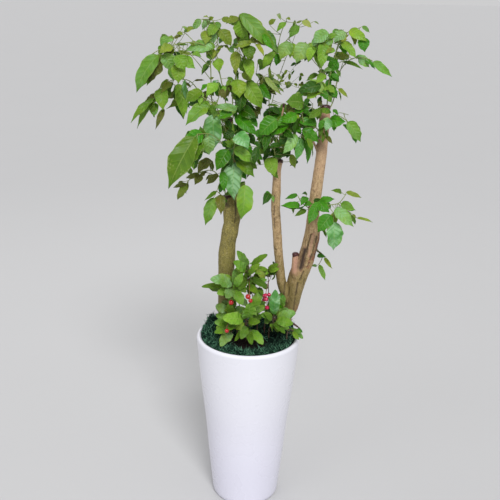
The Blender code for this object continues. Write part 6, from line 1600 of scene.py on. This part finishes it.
def filling(name, stalks, leaves, chance):
    """More leaves behind a shoot's own, so that its crown is as dense as in the photo."""
    lines = [points for points, _ in stalks]
    middle = sum((Vector(flat(leaf[2])) for leaf in leaves), Vector()) / len(leaves)
    wanted = round(len(leaves) * FILL_SHARE.get(name, USUAL_FILL))
    ribs = [[flat(leaf[1])[:2], flat(leaf[2])[:2]] for leaf in leaves]
    result = []
    for _ in range(FILL_TRIES * wanted):
        _, base, tip, width, roll, _ = chance.choice(leaves)
        near, far = Vector(flat(base)), Vector(flat(tip))
        depth = near.z + chance.uniform(*FILL_BEHIND)
        start = near + Vector((chance.gauss(0, FILL_SPREAD), chance.gauss(0, FILL_SPREAD), 0))
        turn = Matrix.Rotation(math.radians(chance.gauss(0, FILL_TURN)), 3, "Z")
        run = turn @ Vector((far.x - near.x, far.y - near.y, 0))
        end = start + run * chance.uniform(*FILL_LENGTHS)
        end = end.lerp(middle, FILL_INWARD)
        if min(distance_to_line(end.x, end.y, rib) for rib in ribs) > FILL_REACH:
            continue
        low = seen(start.x, start.y, depth)
        high = seen(end.x, end.y, depth + chance.uniform(*FILL_LEAN))
        length = (high - low).length
        place = best_root(lines, low, high)
        if (low - place).length > FILL_STALK or length < FILL_SHORTEST:
            continue
        if not clear_of_wood([low, low.lerp(high, 0.5), high]):
            continue
        size = min(width, length * chance.uniform(*FILL_SLIM))
        letter = chance.choice(TINTS[name] + FILL_LETTERS)
        result.append((place, low, high, size, roll + chance.gauss(0, FILL_ROLL), letter))
        if len(result) == wanted:
            break
    return result


def extra_leaves(found):
    """The scene's own leaves, each with the shoot whose stalk is the nearest one to it."""
    chance = random.Random(EXTRA_SEED)
    for name, lines in EXTRA_STALKS.items():
        for line in lines:
            points = [seen(*place) for place in line]
            found[name][0].append((points, radii_along(points, 0.0010, 0.0006)))
    result = {name: [] for name in found}
    for rows, low in ((EXTRA_LEAVES, False), (EXTRA_LOW_LEAVES, True)):
        stands = [(place, flat(place), name) for name, (stalks, _) in found.items()
                  if (name in LOW_PLANTS) == low for points, _ in stalks for place in samples(points)]
        for across, up, far, tip_up, width, letter, behind in rows:
            root, root_flat, name = min(
                stands, key=lambda stand: math.hypot(stand[1][0] - across, stand[1][1] - up))
            depth = root_flat[2]
            size = math.hypot(far - across, tip_up - up)
            base = seen(across, up, depth + behind)
            tip = seen(far, tip_up, depth + behind + size * chance.uniform(-0.30, 0.25))
            result[name].append((root, base, tip, 1.08 * width * CM, chance.gauss(0, 0.30), letter))
    return result


def make_foliage(found, surfaces):
    """Each leafy node's own stalks and leaves made fine, with the scene's leaves among them."""
    extra = extra_leaves(found)
    for number, (name, (stalks, leaves)) in enumerate(found.items()):
        pile = Pile()
        chance = random.Random(FOLIAGE_SEED + number)
        low = name in LOW_PLANTS
        for points, radii in stalks:
            add_stalk(pile, points, radii)
        for leaf in leaves + extra[name] + filling(name, stalks, leaves, chance):
            add_leaf(pile, leaf, "oval" if low else "doll", chance)
        stem = surfaces["low_stem"] if low else surfaces["stem"]
        thing = pile.piece(name + "_leaves", [surfaces["leaf_top"], surfaces["leaf_under"], stem])
        placed(thing, "light_leaf_green" if low else "leaf_green", name)


def smooth_limb(rows):
    """A limb's rows as a fine round tube."""
    return round_tube(catmull(rows, LIMB_STEP), SMOOTH_SIDES, 0.0015)


def remeshed(thing, size):
    """The thing's mesh made again of even faces; the thing itself goes."""
    remesh = thing.modifiers.new("remesh", "REMESH")
    remesh.mode = "VOXEL"
    remesh.voxel_size = size
    graph = bpy.context.evaluated_depsgraph_get()
    mesh = bpy.data.meshes.new_from_object(thing.evaluated_get(graph))
    bpy.data.objects.remove(thing, do_unlink=True)
    return mesh


def voxel_joined(name, tubes):
    """Closed tubes grown together into one even mesh."""
    pile = Pile()
    for points, faces in tubes:
        pile.add(points, faces)
    return remeshed(pile.piece(name, []), BARK_VOXEL)


def distance_to_line(across, up, line):
    """How far a place of the front view is from a line, in centimetres."""
    best = 1e9
    for (x0, z0), (x1, z1) in zip(line, line[1:]):
        run = (x1 - x0) ** 2 + (z1 - z0) ** 2
        share = min(1.0, max(0.0, ((across - x0) * (x1 - x0) + (up - z0) * (z1 - z0)) / run))
        best = min(best, math.hypot(across - x0 - share * (x1 - x0), up - z0 - share * (z1 - z0)))
    return best


def bark_relief(place, strength):
    """Lumps, upright ridges and a fine grain, as a height in metres."""
    lumps = noise.noise(Vector((place.x * 28, place.y * 28, place.z * 11)))
    ridges = noise.noise(Vector((place.x * 150, place.y * 150, place.z * 60)))
    grain = noise.noise(place * 420)
    return strength * (0.0010 * lumps + 0.0006 * ridges + 0.0004 * grain)


def carve_bark(mesh, marks, strength):
    """Moves the bark out and in, and paints its marks: cracks and painted shadow, flakes and bare wood."""
    bm = bmesh.new()
    bm.from_mesh(mesh)
    axes = {"use_axis_x": True, "use_axis_y": True, "use_axis_z": True}
    for _ in range(2):
        bmesh.ops.smooth_vert(bm, verts=bm.verts, factor=0.5, **axes)
    bm.normal_update()
    painted = []
    moves = []
    for vert in bm.verts:
        across, up = flat(vert.co)[:2]
        shade = [0.0, 0.0, 0.0]
        height = bark_relief(vert.co, strength)
        if vert.normal.y < 0.25:
            for channel, line, width, sink, amount in marks:
                ragged = width * (1 + 0.5 * noise.noise(vert.co * 160))
                near = math.exp(-(distance_to_line(across, up, line) / ragged) ** 2)
                shade[channel] = max(shade[channel], min(1.0, near * amount))
                height -= near * sink
        painted.append(shade)
        moves.append(vert.normal * height)
    for vert, move in zip(bm.verts, moves):
        vert.co += move
    bm.to_mesh(mesh)
    bm.free()
    attribute = mesh.attributes.new("marks", "FLOAT_VECTOR", "POINT")
    attribute.data.foreach_set("vector", np.array(painted).ravel())
    mesh.shade_smooth()


def make_trunk(name, tables, marks, surface, slot, strength):
    """A trunk and its limbs, grown together, with carved bark."""
    mesh = voxel_joined(name + "_bark", [smooth_limb(rows) for rows in tables])
    carve_bark(mesh, marks, strength)
    mesh.materials.clear()
    mesh.materials.append(surface)
    placed(linked(name + "_bark", mesh), slot, name)


def wax_cap(pile, end, before, radius, seed):
    """A lumpy skin of wax over a cut end, run down a little at its edge."""
    way = (Vector(end) - Vector(before)).normalized()
    turn = way.to_track_quat("Z", "Y").to_matrix()
    chance = random.Random(seed)
    drips = [chance.uniform(0.6, 1.5) for _ in range(WAX_SIDES)]
    points = []
    for share, height in WAX_PROFILE:
        for k in range(WAX_SIDES):
            angle = 2 * math.pi * k / WAX_SIDES
            across, along = math.cos(angle), math.sin(angle)
            low = height * (drips[k] if height < -0.0005 and share > 0.9 else 1.0)
            rough = 1 + 0.05 * noise.noise(Vector((3 * across, 3 * along, 9 * share + seed)))
            reach = share * radius * rough
            points.append(Vector(end) + turn @ Vector((reach * across, reach * along, low)))
    faces = [(a, d, c, b) for a, b, c, d in bands(len(WAX_PROFILE), WAX_SIDES)]
    pile.add([tuple(p) for p in points], faces)


def make_wax():
    """The wax over every cut end."""
    surface = wax_material()
    for trunk, ends in WAX_ENDS.items():
        pile = Pile()
        for seed, rows in enumerate(ends):
            wax_cap(pile, rows[-1][:3], rows[-2][:3], rows[-1][3], seed)
        thing = pile.piece("wax_on_" + trunk, [surface])
        weld(thing)
        placed(thing, "dark_bark")


def weld(thing):
    """Merges the points that lie on each other, such as a cap's middle."""
    bm = bmesh.new()
    bm.from_mesh(thing.data)
    bmesh.ops.remove_doubles(bm, verts=bm.verts, dist=0.00002)
    bmesh.ops.recalc_face_normals(bm, faces=bm.faces)
    bm.to_mesh(thing.data)
    bm.free()


def turned(profile, segments):
    """A solid turned from (radius, height) rows; the first and the last lie on the axis."""
    points = [(0.0, 0.0, profile[0][1])]
    for radius, height in profile[1:-1]:
        points += [(*around(radius, 2 * math.pi * k / segments), height) for k in range(segments)]
    points.append((0.0, 0.0, profile[-1][1]))
    faces = [(0, 1 + (k + 1) % segments, 1 + k) for k in range(segments)]
    faces += bands(len(profile) - 2, segments, 1)
    last = len(points) - 1
    a = last - segments
    faces += [(last, a + k, a + (k + 1) % segments) for k in range(segments)]
    return points, faces


def make_pot():
    """The turned pot, with its rounded foot and rolled lip."""
    outside = catmull([(radius, 0.0, height) for height, radius in POT_OUTSIDE[2:]], 0.012)
    foot = [(radius, 0.0, height) for height, radius in POT_OUTSIDE[:2]]
    lip = [(radius, 0.0, height) for radius, height in LIP]
    lip = catmull([tuple(outside[-1])] + lip, 0.0018)[1:]
    inside = [(pot_inner_radius(height), 0.0, height) for height in INSIDE_HEIGHTS]
    inside.append((INSIDE_FOOT_RADIUS, 0.0, FLOOR_THICKNESS))
    profile = [(0.0, 0.0)]
    for row in [*foot, *outside, *lip, *inside]:
        profile.append((row[0], row[2]))
    profile.append((0.0, FLOOR_THICKNESS))
    pile = Pile()
    pile.add(*turned(profile, POT_SIDES))
    placed(pile.piece("pot_glazed", [pot_material()], 40), "glossy_white", "pot")


def add_moss_mat(pile, outer):
    """The mat below the strands: rough above, and closed at the rim, at the opening and below."""
    points = []
    for i in range(MOSS_ROUNDS):
        angle = 2 * math.pi * i / MOSS_ROUNDS
        inner = moss_inner_edge(angle)
        for k in range(MOSS_RINGS + 1):
            x, y = around(inner + (outer - inner) * k / MOSS_RINGS, angle)
            lumps = noise.noise(Vector((x * 90, y * 90, 2.0)))
            grain = noise.noise(Vector((x * 300, y * 300, 5.0)))
            rough = 0.0022 * lumps + 0.001 * grain
            low = 0.005 if k in (0, MOSS_RINGS) else 0.0015
            points.append((x, y, moss_height(x, y) + rough - low))
        points.append((*around(outer, angle), SOIL_TOP + GAP))
        points.append((*around(inner, angle), SOIL_TOP + GAP))
    row = MOSS_RINGS + 3
    faces = []
    for i in range(MOSS_ROUNDS):
        a, b = i * row, ((i + 1) % MOSS_ROUNDS) * row
        faces += [(a + k, a + (k + 1) % row, b + (k + 1) % row, b + k) for k in range(row)]
    # Nearly black, partly a painted shade below the strands
    pile.add(points, faces, tint=rgb(4, 16, 13))


def make_moss():
    """A rough mat with thousands of curled strands."""
    pile = Pile()
    outer = RIM_INNER - 0.0006
    add_moss_mat(pile, outer)
    chance = np.random.default_rng(MOSS_SEED)
    made = 0
    while made < MOSS_STRANDS:
        angle = chance.uniform(0, 2 * math.pi)
        radius = outer * math.sqrt(chance.uniform(0, 1))
        if radius < moss_inner_edge(angle) - 0.004:
            continue
        x, y = around(radius, angle)
        root = np.array([x, y, moss_height(x, y) - 0.003])
        heading = chance.uniform(0, 2 * math.pi)
        climb = chance.uniform(0.15, 1.0)
        way = np.array([math.cos(heading), math.sin(heading), climb])
        length = chance.uniform(0.009, 0.017) * (0.7 if radius > outer - 0.008 else 1.0)
        curl = chance.normal(0, 0.5, 3) * length
        middle = root + way * length * 0.5 + curl * 0.35
        end = root + way * length * 0.75 + curl
        if math.hypot(*end[:2]) > outer + 0.006:
            continue
        add_strand(pile, (root, middle, end), chance.uniform(0.0005, 0.0010), moss_tint(chance, x, y))
        made += 1
    thing = pile.piece("moss_strands", [moss_material()], 80)
    placed(thing, "dark_moss", "moss_carpet")


def moss_tint(chance, x, y):
    """A strand's tint: mostly dark, now and then pale, which is partly a painted highlight, and darker in
    the stretch of painted shade.
    """
    share = chance.uniform(0, 1) ** 3.2
    dark, light = np.array(rgb(6, 34, 28)), np.array(rgb(128, 192, 152))
    across = (x - MOSS_SHADE[0]) / MOSS_SHADE_REACH[0]
    along = (y - MOSS_SHADE[1]) / MOSS_SHADE_REACH[1]
    shade = 0.08 + 0.92 * min(1.0, across * across + along * along) ** 1.6
    if share > 0.7:
        shade = max(shade, 0.6)
    return tuple((dark + (light - dark) * share) * shade)


def add_strand(pile, places, radius, tint):
    """A three-sided strand that thins to its tip."""
    rings = []
    for place, share in zip(places[:2], (1.0, 0.8)):
        for angle in (0.3, 2.4, 4.5):
            out = np.array([math.cos(angle), math.sin(angle), 0.4 * math.sin(angle)])
            rings.append(place + out * radius * share)
    rings.append(places[2])
    faces = [(2, 1, 0), (0, 1, 4, 3), (1, 2, 5, 4), (2, 0, 3, 5), (3, 4, 6), (4, 5, 6), (5, 3, 6)]
    pile.add(np.array(rings), faces, tint=tint)


def make_soil():
    """The soil keeps its solid; crumbs of it lie on top, with a few pale grains."""
    base = soil_material("soil_ground", rgb(20, 14, 12), rgb(52, 38, 30))
    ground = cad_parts["soil"]
    ground.data.materials.clear()
    ground.data.materials.append(base)
    pile = Pile()
    chance = random.Random(CRUMB_SEED)
    bm = bmesh.new()
    bmesh.ops.create_icosphere(bm, subdivisions=1, radius=1.0)
    ball = [v.co.copy() for v in bm.verts]
    faces = [tuple(v.index for v in f.verts) for f in bm.faces]
    bm.free()
    made = 0
    while made < SOIL_CRUMBS:
        angle = chance.uniform(0, 2 * math.pi)
        radius = SOIL_REACH * math.sqrt(chance.uniform(0, 1))
        if radius > moss_inner_edge(angle) + 0.006:
            continue
        x, y = around(radius, angle)
        size = chance.uniform(0.0012, 0.0042)
        squash = Vector((chance.uniform(0.7, 1.3), chance.uniform(0.7, 1.3), chance.uniform(0.5, 0.9)))
        turn = Matrix.Rotation(chance.uniform(0, 6.28), 3, "Z")
        centre = Vector((x, y, SOIL_TOP + size * chance.uniform(0.1, 0.5)))
        points = []
        for co in ball:
            lump = 1 + 0.35 * noise.noise(co * 1.7 + Vector((made, 0, 0)))
            points.append(tuple(centre + turn @ Vector(c * q for c, q in zip(co, squash)) * size * lump))
        pile.add(points, faces)
        made += 1
    crumbs = pile.piece("soil_crumbs", [soil_material("soil_crumb", rgb(16, 11, 10), rgb(64, 46, 36))], 80)
    placed(crumbs, "potting_soil")


def make_berries(found):
    """Each bunch on a stalk from the nearest place of its plant's stem."""
    surface = berry_material()
    stalk = stalk_material("berry_stalks", rgb(120, 60, 50), rgb(150, 110, 70), False)
    for name, (plant, rows) in BERRIES.items():
        pile = Pile()
        centres = [(seen(*row[:3]), row[3] * CM) for row in rows]
        middle = sum((centre for centre, radius in centres), Vector()) / len(centres)
        hub = middle + (HUB_ABOVE_BUNCH if len(centres) > 1 else HUB_ABOVE_BERRY)
        stem = catmull([tuple(p) for p in found[plant][0][0][0]], 0.003)
        near = Vector(min(stem, key=lambda p: (Vector(p) - hub).length))
        between = near.lerp(hub, 0.5) + Vector((0, 0, 0.002))
        rows = catmull([(*near, 0.0011), (*between, 0.0010), (*hub, 0.0009)], 0.004)
        pile.add(*round_tube(rows, 7, 0.0004), kind=1)
        tint = rgb(188, 4, 72) if name == "berries_crimson" else rgb(176, 8, 16)
        for centre, radius in centres:
            add_berry(pile, centre, radius, hub, tint)
        thing = pile.piece(name + "_ripe", [surface, stalk], 70)
        placed(thing, "berry_red", name)


def add_berry(pile, centre, radius, hub, tint):
    """A round berry, a little dimpled at its stalk, with the dark dot of its flower opposite."""
    up = (hub - centre).normalized()
    turn = up.to_track_quat("Z", "Y").to_matrix()
    points, tints = [], []
    sides, rings = BERRY_SIDES, BERRY_RINGS
    for i in range(rings + 1):
        polar = math.pi * i / rings
        left = math.pi - polar
        wide = math.sin(polar)
        dimple = 1 - 0.10 * math.exp(-(polar / 0.35) ** 2) - 0.05 * math.exp(-(left / 0.22) ** 2)
        dark = math.exp(-(left / 0.20) ** 2)
        for k in range(sides):
            angle = 2 * math.pi * k / sides
            ray = Vector((wide * math.cos(angle), wide * math.sin(angle), math.cos(polar)))
            points.append(tuple(centre + turn @ ray * radius * dimple))
            tints.append([v * (1 - 0.92 * dark) for v in tint])
    faces = []
    for i in range(rings):
        for k in range(sides):
            a, b = i * sides + k, i * sides + (k + 1) % sides
            if i == 0:
                faces.append((0, a + sides, b + sides))
            elif i == rings - 1:
                faces.append((a, rings * sides, b))
            else:
                faces.append((a, a + sides, b + sides, b))
    pile.add(points, faces, tint=np.array(tints))
    top = centre + up * radius * 0.85
    stalk = [(*hub, 0.0008), (*hub.lerp(top, 0.5), 0.0007), (*top, 0.0010)]
    pile.add(*round_tube(stalk, 6, 0.0003), kind=1)


def make_flake():
    """The flake of bark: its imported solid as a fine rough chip."""
    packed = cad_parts["bark_flake"].data
    mesh = remeshed(linked("bark_chip", packed.copy()), FLAKE_VOXEL)
    for vert in mesh.vertices:
        place = vert.co
        fibres = noise.noise(Vector((place.x * 90, place.y * 420, place.z * 420)))
        grain = noise.noise(place * 300)
        vert.co = place + vert.normal * (0.0009 * fibres + 0.0007 * grain)
    mesh.materials.clear()
    mesh.materials.append(flake_material())
    mesh.shade_smooth()
    placed(linked("bark_chip", mesh), "dark_bark", "bark_flake")


def aim(place, target):
    """The turn that points a light at its target."""
    return (Vector(target) - Vector(place)).to_track_quat("-Z", "Y").to_euler()


def area_light(name, place, target, size, power):
    """A round soft light at a place, turned to its target."""
    data = bpy.data.lights.new(name, "AREA")
    data.shape = "DISK"
    data.size = size
    data.energy = power
    thing = linked(name, data)
    thing.location = place
    thing.rotation_euler = aim(place, target)


def make_studio():
    """A plain pale floor out to the horizon, soft light, and the camera at the photo's angle."""
    mesh = bpy.data.meshes.new("studio_floor")
    corners = [(x * FLOOR_REACH, y * FLOOR_REACH, 0) for x, y in ((-1, -1), (1, -1), (1, 1), (-1, 1))]
    mesh.from_pydata(corners, [], [(0, 1, 2, 3)])
    mesh.materials.append(floor_material())
    floor = linked("studio_floor", mesh)
    world = bpy.data.worlds.new("studio_world")
    world.use_nodes = True
    world.node_tree.nodes["Background"].inputs["Color"].default_value = (*HORIZON_COLOUR, 1.0)
    scene = bpy.context.scene
    scene.world = world
    sun = bpy.data.lights.new("key_sun", "SUN")
    sun.energy = SUN_POWER
    sun.angle = math.radians(SUN_ANGLE)
    linked("key_sun", sun).rotation_euler = aim(SUN_PLACE, SUN_TARGET)
    area_light("fill_light", (-2.6, -2.4, 1.9), (0, 0, 0.8), 2.4, FILL_POWER)
    area_light("back_light", (-0.8, 2.6, 3.0), (0, 0, 1.1), 2.0, BACK_POWER)
    scene.view_settings.view_transform = "Standard"
    data = bpy.data.cameras.new("photo_camera")
    data.lens = LENS
    data.sensor_width = SENSOR_WIDTH
    camera = linked("photo_camera", data)
    tilt = Matrix.Rotation(math.radians(90 - CAMERA_DOWN), 4, "X")
    roll = Matrix.Rotation(math.radians(CAMERA_ROLL), 4, "Z")
    camera.matrix_world = Matrix.Translation(EYE) @ tilt @ roll
    scene.camera = camera


def main():
    surfaces = {
        "leaf_top": leaf_material("leaf_top", False),
        "leaf_under": leaf_material("leaf_under", True),
        "stem": stalk_material("green_stems", rgb(104, 128, 56), rgb(132, 136, 74), False),
        "low_stem": stalk_material("reddish_stems", rgb(92, 52, 52), rgb(70, 70, 40), True),
    }
    found = find_foliage()
    make_foliage(found, surfaces)
    olive = bark_material("olive_tan_bark", speckled=0.35, light=rgb(140, 128, 60), dark=rgb(94, 87, 34),
                          cast=rgb(118, 112, 46), top=rgb(134, 114, 60), foot=rgb(100, 95, 33))
    tan = bark_material("tan_brown_bark", speckled=0.30, light=rgb(190, 162, 122), dark=rgb(130, 102, 66),
                        cast=rgb(158, 136, 90), top=rgb(192, 156, 126), foot=rgb(120, 106, 48))
    make_trunk("trunk_left", [TRUNK_LEFT, LEFT_LIMB, RIGHT_LIMB], LEFT_MARKS, olive, "olive_bark", 1.0)
    make_trunk("trunk_right", [TRUNK_RIGHT, CENTRE_STEM, STUB] + TWIGS, RIGHT_MARKS, tan, "tan_bark", 1.15)
    make_wax()
    make_pot()
    make_soil()
    make_moss()
    make_berries(found)
    make_flake()
    make_studio()


main()
